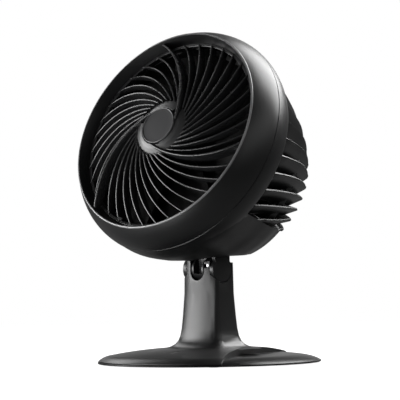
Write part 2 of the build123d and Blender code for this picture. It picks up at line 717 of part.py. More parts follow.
def rotor_core():
    back = -STATOR_FRONT - STATOR_LENGTH
    core = tube(SHAFT_RADIUS, STATOR_BORE - AIR_GAP, back, -STATOR_FRONT)
    core += tube(SHAFT_RADIUS, STATOR_BORE - END_RING, -STATOR_FRONT, END_RING - STATOR_FRONT)
    core += tube(SHAFT_RADIUS, STATOR_BORE - END_RING, back - END_RING, back)
    return core


STATOR_BOLTS = (0, 90, 180, 270)
STATOR_BOLT_CIRCLE = 35.0


def stator_core():
    """A lamination stack with a square-shouldered outline and four clamp holes."""
    outline = Circle(STATOR_RADIUS + 3) & Rectangle(2 * STATOR_RADIUS, 2 * STATOR_RADIUS)
    back = -STATOR_FRONT - STATOR_LENGTH
    core = Pos(0, 0, back) * extrude(outline - Circle(STATOR_BORE), STATOR_LENGTH)
    hole = Pos(STATOR_BOLT_CIRCLE, 0, back) * extrude(Circle(STATOR_BOLT_RADIUS), STATOR_LENGTH)
    for angle in STATOR_BOLTS:
        core -= Rot(0, 0, angle) * hole
    return core


def stator_windings():
    """Four coil ends on each face of the stack."""
    coils = []
    for low in (-STATOR_FRONT, -STATOR_FRONT - STATOR_LENGTH - COIL_LENGTH):
        ring = tube(COIL_INNER, COIL_OUTER - 2.5, low, low + COIL_LENGTH)
        for i in range(4):
            coils.append(ring & sector(90 * i + 8, 90 * i + 82, 60, low, low + COIL_LENGTH))
    return Compound(children=[c.solids()[0] for c in coils])


def motor_bracket(face, outward):
    """A cupped end bracket: rim on the stack, wall, and a boss round the bearing."""
    depth = BRACKET_DEPTH
    outer = STATOR_RADIUS - 0.5
    cup = tube(outer - BRACKET_WALL - 2.6, outer, 0, depth)
    cup += tube(0, outer, depth - BRACKET_WALL, depth)
    cup += tube(0, BEARING_RADIUS + 2.5, depth - BEARING_LENGTH + 1, depth + 2)
    cup -= tube(0, BEARING_RADIUS, depth - BEARING_LENGTH + 1, depth + 2)
    for angle in STATOR_BOLTS:
        cup -= Rot(0, 0, angle) * Pos(STATOR_BOLT_CIRCLE, 0, 0) * tube(0, STATOR_BOLT_RADIUS, 0, depth)
    slot = Pos(21, 0, depth - BRACKET_WALL) * extrude(SlotOverall(11, 5, rotation=90), BRACKET_WALL)
    for angle in (0, 60, 120, 180, 240, 300):
        cup -= Rot(0, 0, angle) * slot
    if outward > 0:
        return Pos(0, 0, face) * cup
    return Pos(0, 0, face) * Rot(180, 0, 0) * cup


def motor_front_bracket():
    return motor_bracket(-STATOR_FRONT, 1)


def motor_rear_bracket():
    """The rear bracket also has four lugs that screw to the cover's posts."""
    bracket = motor_bracket(-STATOR_FRONT - STATOR_LENGTH, -1)
    hole = Pos(POST_CIRCLE, 0, -REAR_BRACKET_BACK) * extrude(Circle(SCREW_RADIUS), BRACKET_DEPTH)
    for angle in MOTOR_POST_ANGLES:
        bracket -= Rot(0, 0, angle) * hole
    return bracket


def motor_screws():
    """Four screws from inside the rear bracket into the posts."""
    inside = -REAR_BRACKET_BACK + BRACKET_WALL
    tip = Pos(POST_CIRCLE, 0, inside - MOTOR_SCREW_LENGTH)
    shank = tip * extrude(Circle(SCREW_RADIUS), MOTOR_SCREW_LENGTH)
    head = Pos(POST_CIRCLE, 0, inside) * extrude(Circle(SCREW_HEAD_RADIUS), SCREW_HEAD)
    screw = shank + head
    return Compound(children=[Rot(0, 0, a) * screw for a in MOTOR_POST_ANGLES])


def stator_screws():
    """Four long screws that clamp both brackets to the stack."""
    front = BRACKET_DEPTH - STATOR_FRONT
    back = -REAR_BRACKET_BACK
    screw = Pos(STATOR_BOLT_CIRCLE, 0, back) * extrude(Circle(STATOR_BOLT_RADIUS), front - back)
    screw += Pos(STATOR_BOLT_CIRCLE, 0, front) * extrude(Circle(2.5), 1.8)
    return Compound(children=[Rot(0, 0, a) * screw for a in STATOR_BOLTS])


def bearing(low):
    return tube(SHAFT_RADIUS + SHAFT_CLEARANCE, BEARING_RADIUS, low, low + BEARING_LENGTH)


def front_bearing():
    return bearing(BRACKET_DEPTH + 1 - STATOR_FRONT - BEARING_LENGTH)


def rear_bearing():
    return bearing(-REAR_BRACKET_BACK - 1)


# ---------------------------------------------------------------- tilt joint
BRACKET_SCREW_PLACES = [
    (x * (BRACKET_HALF_X + BRACKET_FLANGE / 2), y * (BRACKET_HALF_Y - 4)) for x in (-1, 1) for y in (-1, 1)
]


def knuckle(radius, shank_half, start, end):
    """A rounded lug along X, hanging from the saddle plane round the tilt axis."""
    shank = Pos((start + end) / 2, 0, SADDLE_RISE / 2) * Box(end - start, 2 * shank_half, SADDLE_RISE)
    return x_disc(radius, start, end) + shank


def tilt_bracket():
    """Plate in the belly floor with a grooved centre tongue and two outer ears."""
    plate = Pos(0, 0, SADDLE_RISE) * extrude(bracket_opening(0), BELLY_WALL)
    flange_x = BRACKET_HALF_X + BRACKET_FLANGE
    flange = Pos(0, 0, SADDLE_RISE + BELLY_WALL) * extrude(
        RectangleRounded(2 * flange_x, 2 * BRACKET_HALF_Y + 8, 5), BRACKET_PLATE
    )
    ear_start = CHEEK_OUTER + JOINT_SIDE_GAP
    ear_end = NECK_HALF_X - EAR_CAP
    bracket = plate + flange
    bracket += knuckle(TONGUE_RADIUS, EAR_SHANK_HALF, -TONGUE_HALF, TONGUE_HALF)
    pocket_width = 2 * (TONGUE_HALF - TONGUE_WALL)
    pocket_height = SADDLE_RISE + TONGUE_SILL
    pocket = Box(pocket_width, 2 * TONGUE_POCKET, pocket_height)
    bracket -= Pos(0, -TONGUE_RADIUS, (SADDLE_RISE - TONGUE_SILL) / 2) * pocket
    bracket += knuckle(EAR_RADIUS, EAR_SHANK_HALF, ear_start, ear_end)
    bracket += knuckle(EAR_RADIUS, EAR_SHANK_HALF, -ear_end, -ear_start)
    bracket -= x_disc(BOLT_RADIUS + BOLT_CLEARANCE, -NECK_HALF_X, NECK_HALF_X)
    sink = BOLT_HEAD + BOLT_HEAD_ROOM
    bracket -= x_disc(BOLT_HEAD_RADIUS + BOLT_HEAD_ROOM, ear_end - sink, ear_end)
    bracket -= x_disc(BOLT_HEAD_RADIUS + BOLT_HEAD_ROOM, -ear_end, -ear_end + sink)
    for x, y in BRACKET_SCREW_PLACES:
        bracket -= Pos(x, y, SADDLE_RISE) * extrude(Circle(SCREW_RADIUS), BELLY_WALL + BRACKET_PLATE)
    return PIVOT * bracket


def ear_cap(side):
    """The smooth disc that closes an ear over the end of the bolt."""
    start = NECK_HALF_X - EAR_CAP
    cap = x_disc(EAR_RADIUS, start, NECK_HALF_X)
    middle = (start + NECK_HALF_X) / 2
    cap += Pos(middle, 0, SADDLE_RISE / 2) * Box(EAR_CAP, 2 * EAR_SHANK_HALF, SADDLE_RISE)
    if side < 0:
        cap = cap.mirror(Plane.YZ)
    return PIVOT * cap


def bracket_screws():
    low = SADDLE_RISE
    high = SADDLE_RISE + BELLY_WALL + BRACKET_PLATE
    screws = []
    for x, y in BRACKET_SCREW_PLACES:
        shank = Pos(x, y, low) * extrude(Circle(SCREW_RADIUS), high - low)
        head = Pos(x, y, high) * extrude(Circle(SCREW_HEAD_RADIUS), SCREW_HEAD)
        screws.append(PIVOT * (shank + head))
    return Compound(children=screws)


def pivot_bolt():
    """The bolt that the head tilts on, held by the neck's two cheeks."""
    end = NECK_HALF_X - EAR_CAP - BOLT_END_GAP
    bolt = x_disc(BOLT_RADIUS, -end, end - BOLT_HEAD)
    bolt += x_disc(BOLT_HEAD_RADIUS, end - BOLT_HEAD, end)
    return PIVOT * bolt


def pivot_nut():
    end = NECK_HALF_X - EAR_CAP - BOLT_END_GAP
    nut = Pos(-end, 0, 0) * Rot(0, 90, 0) * extrude(RegularPolygon(BOLT_HEAD_RADIUS, 6), BOLT_HEAD)
    return PIVOT * (nut - x_disc(BOLT_RADIUS, -end, -end + BOLT_HEAD))


def friction_washer(side):
    washer = x_disc(WASHER_RADIUS, TONGUE_HALF, CHEEK_INNER) - x_disc(BOLT_RADIUS, TONGUE_HALF, CHEEK_INNER)
    if side < 0:
        washer = washer.mirror(Plane.YZ)
    return PIVOT * washer


# ---------------------------------------------------------------- stand
NECK_FLARE = (
    (16.4, 27.0),
    (17.4, 20.0),
    (19.0, 14.2),
    (21.5, 10.0),
    (25.0, 7.0),
    (30.0, 5.0),
    (38.0, 3.5),
    (52.0, 2.2),
    (76.0, 0.6),
    (120.0, 0.0),
)


def neck_outline(height, half_x, half_y, crown, corner):
    """Crowned front and rear, flat sides and soft corners."""
    side = half_y - crown
    front = ThreePointArc((-half_x, -side), (0, -half_y), (half_x, -side))
    right = Line((half_x, -side), (half_x, side))
    rear = ThreePointArc((half_x, side), (0, half_y), (-half_x, side))
    left = Line((-half_x, side), (-half_x, -side))
    face = make_face(Wire([front, right, rear, left]))
    rounded = fillet(face.vertices(), corner)
    return Pos(0, NECK_BACK, height) * rounded


def neck_solid(inset):
    """The neck's full height; it flares towards the skirt and its corners soften as it does."""
    sections = []
    for height, spread in NECK_FLARE:
        half_x = NECK_HALF_X + spread - inset
        half_y = NECK_HALF_Y + spread - inset
        corner = NECK_CORNER + 0.9 * spread
        outline = neck_outline(height, half_x, half_y, NECK_CROWN, corner)
        sections.append(outline.wires()[0])
    return Solid.make_loft(sections, ruled=True)


def saucer_edge():
    """The saucer's convex shoulder, from its flat top to the bead at the rim."""
    return ThreePointArc(
        (BASE_FLAT_RADIUS, BASE_LOBE_HEIGHT),
        (BASE_RADIUS - 11.5, 7.2),
        (BASE_RADIUS - BASE_EDGE, BASE_RIM_HIGH + 0.2),
    )


def skirt_band():
    """The raised skirt's full turn, from the neck foot to the rim."""
    rim = BASE_RADIUS - BASE_EDGE
    foot = BASE_RIM_HIGH + 0.2
    top = Vector(SKIRT_SHOULDER_RADIUS, SKIRT_SHOULDER_HEIGHT)
    neck = Vector(SKIRT_NECK_RADIUS, SKIRT_NECK_HEIGHT)
    crest = (top + neck) / 2 + Vector(0, 1.0)
    section = ring_section(
        Line((0, BASE_LOBE_HEIGHT), (BASE_FLAT_RADIUS, BASE_LOBE_HEIGHT)),
        saucer_edge(),
        Line((rim, foot), (rim, foot + 0.6)),
        ThreePointArc((rim, foot + 0.6), (BASE_RADIUS - 6.0, 8.0), top),
        ThreePointArc(top, crest, neck),
        Line(neck, (0, SKIRT_NECK_HEIGHT)),
        Line((0, SKIRT_NECK_HEIGHT), (0, BASE_LOBE_HEIGHT)),
    )
    return spin(section)


def skirt_plan():
    """Seen from above the skirt is a wide fan at the front that narrows to the rear rim."""
    reach = BASE_RADIUS + 4
    front = polar(reach, -SKIRT_FRONT_ANGLE)
    rear = polar(reach, SKIRT_REAR_ANGLE)
    middle = (front + rear) / 2
    chord = rear - front
    inward = Vector(-chord.Y, chord.X, 0).normalized() * SKIRT_SAGITTA
    waist = middle + inward
    right = ThreePointArc(front, waist, rear)
    left = ThreePointArc(
        Vector(-rear.X, rear.Y, 0), Vector(-waist.X, waist.Y, 0), Vector(-front.X, front.Y, 0)
    )
    back = ThreePointArc(rear, Vector(0, reach, 0), Vector(-rear.X, rear.Y, 0))
    nose = ThreePointArc(Vector(-front.X, front.Y, 0), Vector(0, -reach, 0), front)
    return make_face(Wire([right, back, left, nose]))


def neck_top_envelope():
    """The neck's top is round about the tilt axis, with flats for the head at each end of its tilt."""
    low = math.radians(TILT_DOWN)
    high = math.radians(TILT_UP)
    front = Vector(-NECK_TOP_RADIUS * math.sin(low), NECK_TOP_RADIUS * math.cos(low))
    rear = Vector(NECK_TOP_RADIUS * math.sin(high), NECK_TOP_RADIUS * math.cos(high))
    run = 2 * NECK_HALF_Y
    front_end = front + Vector(-math.cos(low), -math.sin(low)) * run
    rear_end = rear + Vector(math.cos(high), -math.sin(high)) * run
    floor = -PIVOT_Z - 10
    outline = Wire([
        ThreePointArc(front, Vector(0, NECK_TOP_RADIUS), rear),
        Line(rear, rear_end),
        Line(rear_end, (rear_end.X, floor)),
        Line((rear_end.X, floor), (front_end.X, floor)),
        Line((front_end.X, floor), front_end),
        Line(front_end, front),
    ])
    reach = 2 * BASE_RADIUS
    plane = Plane(origin=(-reach, PIVOT_Y, PIVOT_Z), x_dir=(0, 1, 0), z_dir=(1, 0, 0))
    return extrude(plane * make_face(outline), 2 * reach)


def swing_room(radius, start, end):
    """The room that a lug of the bracket needs about the tilt axis, open upwards over its travel."""
    middle = (start + end) / 2
    reach = 2 * NECK_HALF_Y
    round_half = radius + JOINT_SWING_GAP
    shank_half = EAR_SHANK_HALF + JOINT_SWING_GAP
    room = x_disc(round_half, start, end)
    room += Pos(middle, 0, reach / 2) * Box(end - start, 2 * round_half, reach)
    leaning = Pos(middle, 0, reach / 2) * Box(end - start, 2 * shank_half, reach)
    for turn in (-TILT_DOWN, TILT_DOWN):
        room += Rot(turn, 0, 0) * leaning
    return PIVOT * room


def neck_column():
    """Hollow neck on its skirt, with a forked top: two cheeks, a centre slot and two ear pockets."""
    skirt = skirt_band() & Pos(0, 0, -5) * extrude(skirt_plan(), 60)
    neck = neck_solid(0) & neck_top_envelope()
    floor = BASE_LOBE_HEIGHT + NECK_WALL
    hollow_height = NECK_SOLID_FROM - floor
    inner_x = NECK_HALF_X - NECK_WALL
    inner_y = NECK_HALF_Y - NECK_WALL
    inside = neck_outline(floor, inner_x, inner_y, NECK_CROWN, NECK_CORNER - 1)
    neck = neck + skirt
    neck -= extrude(inside, hollow_height)
    neck -= swing_room(TONGUE_RADIUS, -CHEEK_INNER, CHEEK_INNER)
    neck -= front_notch()
    pocket_end = 2 * NECK_HALF_X
    neck -= swing_room(EAR_RADIUS, CHEEK_OUTER, pocket_end)
    neck -= swing_room(EAR_RADIUS, -pocket_end, -CHEEK_OUTER)
    neck -= PIVOT * x_disc(BOLT_RADIUS, -CHEEK_OUTER, CHEEK_OUTER)
    for x, y in NECK_BOSSES:
        neck += Pos(x, y, BASE_LOBE_HEIGHT) * extrude(Circle(NECK_BOSS_RADIUS), NECK_BOSS_HEIGHT)
    for x, y in NECK_BOSSES:
        neck -= Pos(x, y, BASE_LOBE_HEIGHT) * extrude(Circle(SCREW_RADIUS), NECK_BOSS_HEIGHT - 4)
    neck -= tilt_stop_pin()
    return neck


def front_notch():
    """The U-shaped notch in the neck's front wall, with the small square slot beside it."""
    ahead = 5.0
    plane = Plane(origin=(0, NECK_BACK - NECK_HALF_Y - ahead, 0), x_dir=(1, 0, 0), z_dir=(0, -1, 0))
    centre = NOTCH_BOTTOM + NOTCH_HALF
    straight = Pos(0, centre + NOTCH_HALF) * Rectangle(2 * NOTCH_HALF, 2 * NOTCH_HALF)
    outline = Pos(0, centre) * Circle(NOTCH_HALF) + straight
    depth = NOTCH_DEPTH + ahead
    notch = extrude(plane * outline, -depth)
    place = Pos(NOTCH_HALF + SIDE_SLOT_SHIFT, PIVOT_Z + SIDE_SLOT_RISE)
    side = extrude(plane * place * Rectangle(SIDE_SLOT, SIDE_SLOT), -depth)
    return notch + side


def tilt_stop_pin():
    """A bright pin pressed into the front of the right cheek, beside the square slot."""
    front = NECK_BACK - NECK_HALF_Y
    start = (STOP_PIN_X, front + STOP_PIN_RECESS, PIVOT_Z + STOP_PIN_RISE)
    plane = Plane(origin=start, x_dir=(1, 0, 0), z_dir=(0, 1, 0))
    return extrude(plane * Circle(STOP_PIN_RADIUS), STOP_PIN_LENGTH)


NECK_BOSSES = ((-12.0, -9.0), (12.0, -9.0), (-12.0, 9.0), (12.0, 9.0))
NECK_BOSS_HEIGHT = 22.0
NECK_BOSS_RADIUS = 4.5


def base_disc():
    """The round saucer: flat top, convex shoulder, a fine bead at the rim, open below."""
    shoulder = saucer_edge()
    well = PLATE_RADIUS + PLATE_GAP
    plate_top = PLATE_LOW + PLATE_WALL
    section = ring_section(
        Line((0, BASE_LOBE_HEIGHT - BASE_SHELL), (0, BASE_LOBE_HEIGHT)),
        Line((0, BASE_LOBE_HEIGHT), (BASE_FLAT_RADIUS, BASE_LOBE_HEIGHT)),
        shoulder,
        Line((BASE_RADIUS - BASE_EDGE, BASE_RIM_HIGH + 0.2), (BASE_RADIUS, BASE_RIM_HIGH)),
        Line((BASE_RADIUS, BASE_RIM_HIGH), (BASE_RADIUS, BASE_RIM_LOW)),
        Line((BASE_RADIUS, BASE_RIM_LOW), (BASE_RADIUS - 1.2, PLATE_LOW)),
        Line((BASE_RADIUS - 1.2, PLATE_LOW), (well, PLATE_LOW)),
        Line((well, PLATE_LOW), (well, PLATE_LOW + 2.0)),
        Line((well, PLATE_LOW + 2.0), (BASE_FLAT_RADIUS, BASE_LOBE_HEIGHT - BASE_SHELL)),
        Line((BASE_FLAT_RADIUS, BASE_LOBE_HEIGHT - BASE_SHELL), (0, BASE_LOBE_HEIGHT - BASE_SHELL)),
    )
    disc = spin(section)
    disc += tube(PLATE_RADIUS - PLATE_LEDGE, well, plate_top, plate_top + PLATE_WALL)
    for x, y in NECK_BOSSES:
        disc -= Pos(x, y, 0) * extrude(Circle(SCREW_RADIUS), BASE_LOBE_HEIGHT + 1)
    return disc


def base_plate():
    """The bottom cover, with wells for the feet."""
    top = PLATE_LOW + PLATE_WALL
    plate = tube(0, PLATE_RADIUS, PLATE_LOW, top)
    boss = extrude(Circle(PLATE_BOSS_RADIUS), BASE_LOBE_HEIGHT - BASE_SHELL - top)
    for x, y in NECK_BOSSES:
        plate += Pos(x, y, top) * boss
    for x, y in NECK_BOSSES:
        plate -= Pos(x, y, PLATE_LOW) * extrude(Circle(SCREW_RADIUS), BASE_LOBE_HEIGHT)
        plate -= Pos(x, y, PLATE_LOW) * extrude(Circle(SCREW_HEAD_RADIUS), SCREW_HEAD)
    for i in range(FOOT_COUNT):
        place = polar(FOOT_CIRCLE, FOOT_FIRST + i * 360.0 / FOOT_COUNT)
        plate -= Pos(place.X, place.Y, PLATE_LOW) * extrude(Circle(FOOT_RADIUS), FOOT_HEIGHT - PLATE_LOW)
    return plate


def base_screws():
    screws = []
    for x, y in NECK_BOSSES:
        head = Pos(x, y, PLATE_LOW) * extrude(Circle(SCREW_HEAD_RADIUS), SCREW_HEAD)
        shank = Pos(x, y, PLATE_LOW + SCREW_HEAD) * extrude(Circle(SCREW_RADIUS), NECK_BOSS_HEIGHT)
        screws.append(head + shank)
    return Compound(children=screws)


def rubber_foot(index):
    place = polar(FOOT_CIRCLE, FOOT_FIRST + index * 360.0 / FOOT_COUNT)
    return Pos(place.X, place.Y, 0) * extrude(Circle(FOOT_RADIUS), FOOT_HEIGHT)


# ---------------------------------------------------------------- build
HEAD_PIECES = {
    "front_ring": front_ring,
    "front_grille": front_grille,
    "hub_badge": hub_badge,
    "grille_lock_tab": grille_lock_tab,
    "rear_housing": rear_housing,
    "housing_screws": housing_screws,
    "rear_grille": rear_grille,
    "rear_cover": rear_cover,
    "speed_switch": speed_switch,
    "switch_shaft": switch_shaft,
    "speed_knob": speed_knob,
    "propeller": propeller,
    "rotor_shaft": rotor_shaft,
    "spinner_nut": spinner_nut,
    "rotor_core": rotor_core,
    "stator_core": stator_core,
    "stator_windings": stator_windings,
    "motor_front_bracket": motor_front_bracket,
    "motor_rear_bracket": motor_rear_bracket,
    "motor_screws": motor_screws,
    "stator_screws": stator_screws,
    "front_bearing": front_bearing,
    "rear_bearing": rear_bearing,
}
PLACED_PIECES = {
    "tilt_bracket": tilt_bracket,
    "bracket_screws": bracket_screws,
    "pivot_bolt": pivot_bolt,
    "pivot_nut": pivot_nut,
    "neck_column": neck_column,
    "tilt_stop_pin": tilt_stop_pin,
    "base_disc": base_disc,
    "base_plate": base_plate,
    "base_screws": base_screws,
}


def main():
    os.makedirs("parts", exist_ok=True)
    for name, make in HEAD_PIECES.items():
        save(LIP * make(), name)
    for name, make in PLACED_PIECES.items():
        save(make(), name)
    for name, side in (("right", 1), ("left", -1)):
        save(ear_cap(side), f"ear_cap_{name}")
        save(friction_washer(side), f"friction_washer_{name}")
    for i in range(FOOT_COUNT):
        save(rubber_foot(i), f"rubber_foot_{i + 1}")


main()
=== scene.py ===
"""Looks for a table air circulator fan: satin black moulded plastic round a jointed frame."""

import json
import math

import bpy
from bpy.props import FloatProperty, FloatVectorProperty, IntProperty, PointerProperty
from mathutils import Matrix, Vector


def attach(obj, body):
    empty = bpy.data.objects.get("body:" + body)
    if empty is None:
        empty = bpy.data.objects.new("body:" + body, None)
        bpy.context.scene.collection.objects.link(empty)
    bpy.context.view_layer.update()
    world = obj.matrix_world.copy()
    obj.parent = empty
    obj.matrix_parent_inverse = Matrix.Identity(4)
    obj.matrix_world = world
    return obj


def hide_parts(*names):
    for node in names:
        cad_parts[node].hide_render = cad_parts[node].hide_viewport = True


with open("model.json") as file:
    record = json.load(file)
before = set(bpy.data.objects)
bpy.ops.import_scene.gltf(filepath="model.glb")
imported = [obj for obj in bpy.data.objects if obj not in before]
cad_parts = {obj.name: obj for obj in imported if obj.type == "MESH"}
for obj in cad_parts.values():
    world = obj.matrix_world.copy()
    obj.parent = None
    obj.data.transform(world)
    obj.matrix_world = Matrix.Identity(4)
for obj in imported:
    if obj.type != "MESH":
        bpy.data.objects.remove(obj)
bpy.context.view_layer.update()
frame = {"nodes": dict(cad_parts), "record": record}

bl_info = {
    "name": "Air Circulator Fan",
    "version": (1, 0, 0),
    "blender": (4, 5, 0),
    "location": "View3D > Sidebar > Fan",
    "description": "Builds the plastic, metal and rubber pieces of a table air circulator fan",
    "category": "Add Mesh",
}

# The head's own frame has its origin in the middle of the lip, +Z the way the fan blows, and +X to the right
# of a viewer who faces the grille. The lip's place is in metres.
TILT = math.radians(28.0)
LIP_CENTRE = (0.0, -0.06784, 0.25483)
HEAD = Matrix((
    (1.0, 0.0, 0.0, LIP_CENTRE[0]),
    (0.0, math.sin(TILT), -math.cos(TILT), LIP_CENTRE[1]),
    (0.0, math.cos(TILT), math.sin(TILT), LIP_CENTRE[2]),
    (0.0, 0.0, 0.0, 1.0),
))
STAND = Matrix.Identity(4)

# Sizes of the pieces are in millimetres from here to the stage. What Blender is given is in metres, the
# panel's values too. A depth counts backwards from the lip.
MM = 0.001


# ------------------------------------------------ sizes and colours

class FanHeadSizes(bpy.types.PropertyGroup):
    """Sizes of the round head."""

    belt_radius: FloatProperty(
        name="Belt radius", description="Largest radius of the round head", default=0.1285, unit="LENGTH"
    )
    lip_radius: FloatProperty(
        name="Lip radius", description="Inner radius of the front lip", default=0.1149, unit="LENGTH"
    )
    blade_count: IntProperty(name="Blades", description="Number of propeller blades", default=7, min=3)
    rib_count: IntProperty(name="Ribs", description="Number of ribs in the front grille", default=36, min=6)
    rib_width: FloatProperty(
        name="Rib width", description="Thickness of a plain rib", default=0.0016, unit="LENGTH"
    )
    main_rib_width: FloatProperty(
        name="Proud rib width", description="Thickness of a proud rib", default=0.0022, unit="LENGTH"
    )
    hub_radius: FloatProperty(
        name="Hub radius", description="Outer radius of the swirled hub", default=0.034, unit="LENGTH"
    )
    badge_radius: FloatProperty(
        name="Badge radius", description="Radius of the plain disc in the hub", default=0.0212, unit="LENGTH"
    )


class FanCageSizes(bpy.types.PropertyGroup):
    """Sizes of the rear cage."""

    fin_count: IntProperty(name="Fins", description="Number of fins round the cage", default=27, min=3)
    fin_pitch: FloatProperty(
        name="Fin pitch", description="Angle between two fins", default=math.radians(10.0), subtype="ANGLE"
    )
    fin_width: FloatProperty(
        name="Fin width", description="Thickness of a fin", default=0.0034, unit="LENGTH"
    )


class FanStandSizes(bpy.types.PropertyGroup):
    """Sizes of the stand."""

    base_radius: FloatProperty(
        name="Base radius", description="Radius of the round base", default=0.121, unit="LENGTH"
    )
    knob_radius: FloatProperty(
        name="Knob radius", description="Radius of the speed knob", default=0.019, unit="LENGTH"
    )
    foot_radius: FloatProperty(
        name="Foot radius", description="Radius of a rubber foot", default=0.007, unit="LENGTH"
    )


class FanColours(bpy.types.PropertyGroup):
    """Colours of the fan."""

    plastic: FloatVectorProperty(
        name="Plastic", description="Satin black of the mouldings", default=(0.0042, 0.0043, 0.0045),
        subtype="COLOR",
    )
    blades: FloatVectorProperty(
        name="Blades", description="Black of the propeller", default=(0.003, 0.003, 0.0031), subtype="COLOR"
    )
    steel: FloatVectorProperty(
        name="Steel", description="Zinc plate of screws and shafts", default=(0.52, 0.52, 0.53),
        subtype="COLOR",
    )
    copper: FloatVectorProperty(
        name="Copper", description="Enamelled wire of the motor", default=(0.36, 0.12, 0.05), subtype="COLOR"
    )
    rubber: FloatVectorProperty(
        name="Rubber", description="Black of the feet", default=(0.011, 0.011, 0.011), subtype="COLOR"
    )


# ------------------------------------------------ modelling helpers

def begin():
    """Leaves nothing selected, so that an operator acts only on what comes next."""
    bpy.ops.object.select_all(action="DESELECT")


def only(piece):
    begin()
    piece.select_set(True)
    bpy.context.view_layer.objects.active = piece


def edit_all(piece):
    only(piece)
    bpy.ops.object.mode_set(mode="EDIT")
    bpy.ops.mesh.select_all(action="SELECT")


def leave_edit():
    bpy.ops.object.mode_set(mode="OBJECT")


def face_outwards():
    """Turns every face outwards, then leaves edit mode."""
    bpy.ops.mesh.select_all(action="SELECT")
    bpy.ops.mesh.normals_make_consistent(inside=False)
    leave_edit()


def polar(radius, degrees, height=0.0):
    turn = math.radians(degrees)
    return Vector((radius * math.cos(turn), radius * math.sin(turn), height))


def circle_through(a, b, c):
    """Centre and radius of the circle through three flat points."""
    (ax, ay), (bx, by), (cx, cy) = a, b, c
    twice = 2 * (ax * (by - cy) + bx * (cy - ay) + cx * (ay - by))
    aa, bb, cc = ax * ax + ay * ay, bx * bx + by * by, cx * cx + cy * cy
    x = (aa * (by - cy) + bb * (cy - ay) + cc * (ay - by)) / twice
    y = (aa * (cx - bx) + bb * (ax - cx) + cc * (bx - ax)) / twice
    return Vector((x, y)), math.hypot(ax - x, ay - y)


def rounded(corners, steps=4):
    """A closed outline from corners of (across, up, radius), each rounded to its radius."""
    outline = []
    for i, (x, y, radius) in enumerate(corners):
        here = Vector((x, y))
        if radius <= 0:
            outline.append(here)
            continue
        back = (Vector(corners[i - 1][:2]) - here).normalized()
        ahead = (Vector(corners[(i + 1) % len(corners)][:2]) - here).normalized()
        half = back.angle(ahead) / 2
        centre = here + (back + ahead).normalized() * radius / math.sin(half)
        start = here + back * radius / math.tan(half) - centre
        end = here + ahead * radius / math.tan(half) - centre
        for step in range(steps + 1):
            outline.append(centre + start.lerp(end, step / steps).normalized() * radius)
    return outline


def wall_section(inner, outer, low, high, radii, steps=4):
    """A four-cornered outline, with the rounding of each corner from the low inner one onwards."""
    places = ((inner, low), (outer, low), (outer, high), (inner, high))
    return rounded([(*place, radius) for place, radius in zip(places, radii)], steps)


def wire_loop(name, points):
    """A closed wire: a circle primitive whose corners are moved to the points."""
    begin()
    bpy.ops.mesh.primitive_circle_add(vertices=len(points), radius=0.01)
    piece = bpy.context.object
    piece.name = piece.data.name = name
    for vertex, point in zip(piece.data.vertices, points):
        vertex.co = Vector(point) * MM
    return piece


def spin_piece(piece, steps, angle=math.tau, centre=(0.0, 0.0)):
    """Spins a wire about an upright axis, closes it and turns its faces outwards.

    The operator turns clockwise, so the angle is negated to count the other way.
    """
    edit_all(piece)
    axis_place = (centre[0] * MM, centre[1] * MM, 0.0)
    bpy.ops.mesh.spin(steps=steps, angle=-angle, center=axis_place, axis=(0.0, 0.0, 1.0))
    bpy.ops.mesh.select_all(action="SELECT")
    bpy.ops.mesh.remove_doubles(threshold=0.00001)
    bpy.ops.mesh.fill_holes(sides=0)
    face_outwards()
    return piece


def spun(name, outline, steps=128):
    """A round piece from a closed outline of (radius, height)."""
    return spin_piece(wire_loop(name, [(r, 0.0, h) for r, h in outline]), steps)


def spun_disc(name, outline, steps=96):
    """A round piece from an open outline whose first and last points lie on the axis."""
    piece = wire_loop(name, [(r, 0.0, h) for r, h in outline])
    edit_all(piece)
    bpy.ops.mesh.select_mode(type="EDGE")
    bpy.ops.mesh.select_all(action="DESELECT")
    leave_edit()
    last = len(outline) - 1
    for edge in piece.data.edges:
        edge.select = set(edge.vertices) == {0, last}
    bpy.ops.object.mode_set(mode="EDIT")
    bpy.ops.mesh.delete(type="EDGE_FACE")
    bpy.ops.mesh.select_mode(type="VERT")
    leave_edit()
    return spin_piece(piece, steps)


def prism(name, outline, low, high):
    """An upright block from a flat closed outline of (x, y)."""
    block = wire_loop(name, [(x, y, low) for x, y in outline])
    edit_all(block)
    bpy.ops.mesh.edge_face_add()
    bpy.ops.mesh.extrude_region_move(TRANSFORM_OT_translate={"value": (0.0, 0.0, (high - low) * MM)})
    face_outwards()
    return block


def apply_modifier(piece, kind, **settings):
    """Adds a modifier with its settings and applies it."""
    only(piece)
    modifier = piece.modifiers.new(kind.lower(), kind)
    for name, value in settings.items():
        setattr(modifier, name, value)
    bpy.ops.object.modifier_apply(modifier=modifier.name)


def bevel(piece, width, segments=2, angle=40.0):
    """Rounds the edges at which a piece turns by more than an angle."""
    limit = {"limit_method": "ANGLE", "angle_limit": math.radians(angle), "use_clamp_overlap": True}
    apply_modifier(piece, "BEVEL", width=width * MM, segments=segments, **limit)


def solidify(piece, thickness):
    """Gives a strip its thickness, half on each side."""
    apply_modifier(piece, "SOLIDIFY", thickness=thickness * MM, offset=0.0)


def carve(piece, tool, operation):
    """Applies a Boolean with a tool piece and throws the tool away."""
    apply_modifier(piece, "BOOLEAN", operation=operation, solver="EXACT", object=tool)
    bpy.data.objects.remove(tool)


def turned_copy(piece, name, degrees=0.0):
    """A copy with its own mesh, turned about the upright axis."""
    only(piece)
    bpy.ops.object.duplicate(linked=False)
    copy = bpy.context.object
    copy.name = copy.data.name = name
    copy.data.transform(Matrix.Rotation(math.radians(degrees), 4, "Z"))
    return copy


def join(pieces, name):
    only(pieces[0])
    for piece in pieces:
        piece.select_set(True)
    bpy.ops.object.join()
    whole = bpy.context.object
    whole.name = whole.data.name = name
    return whole


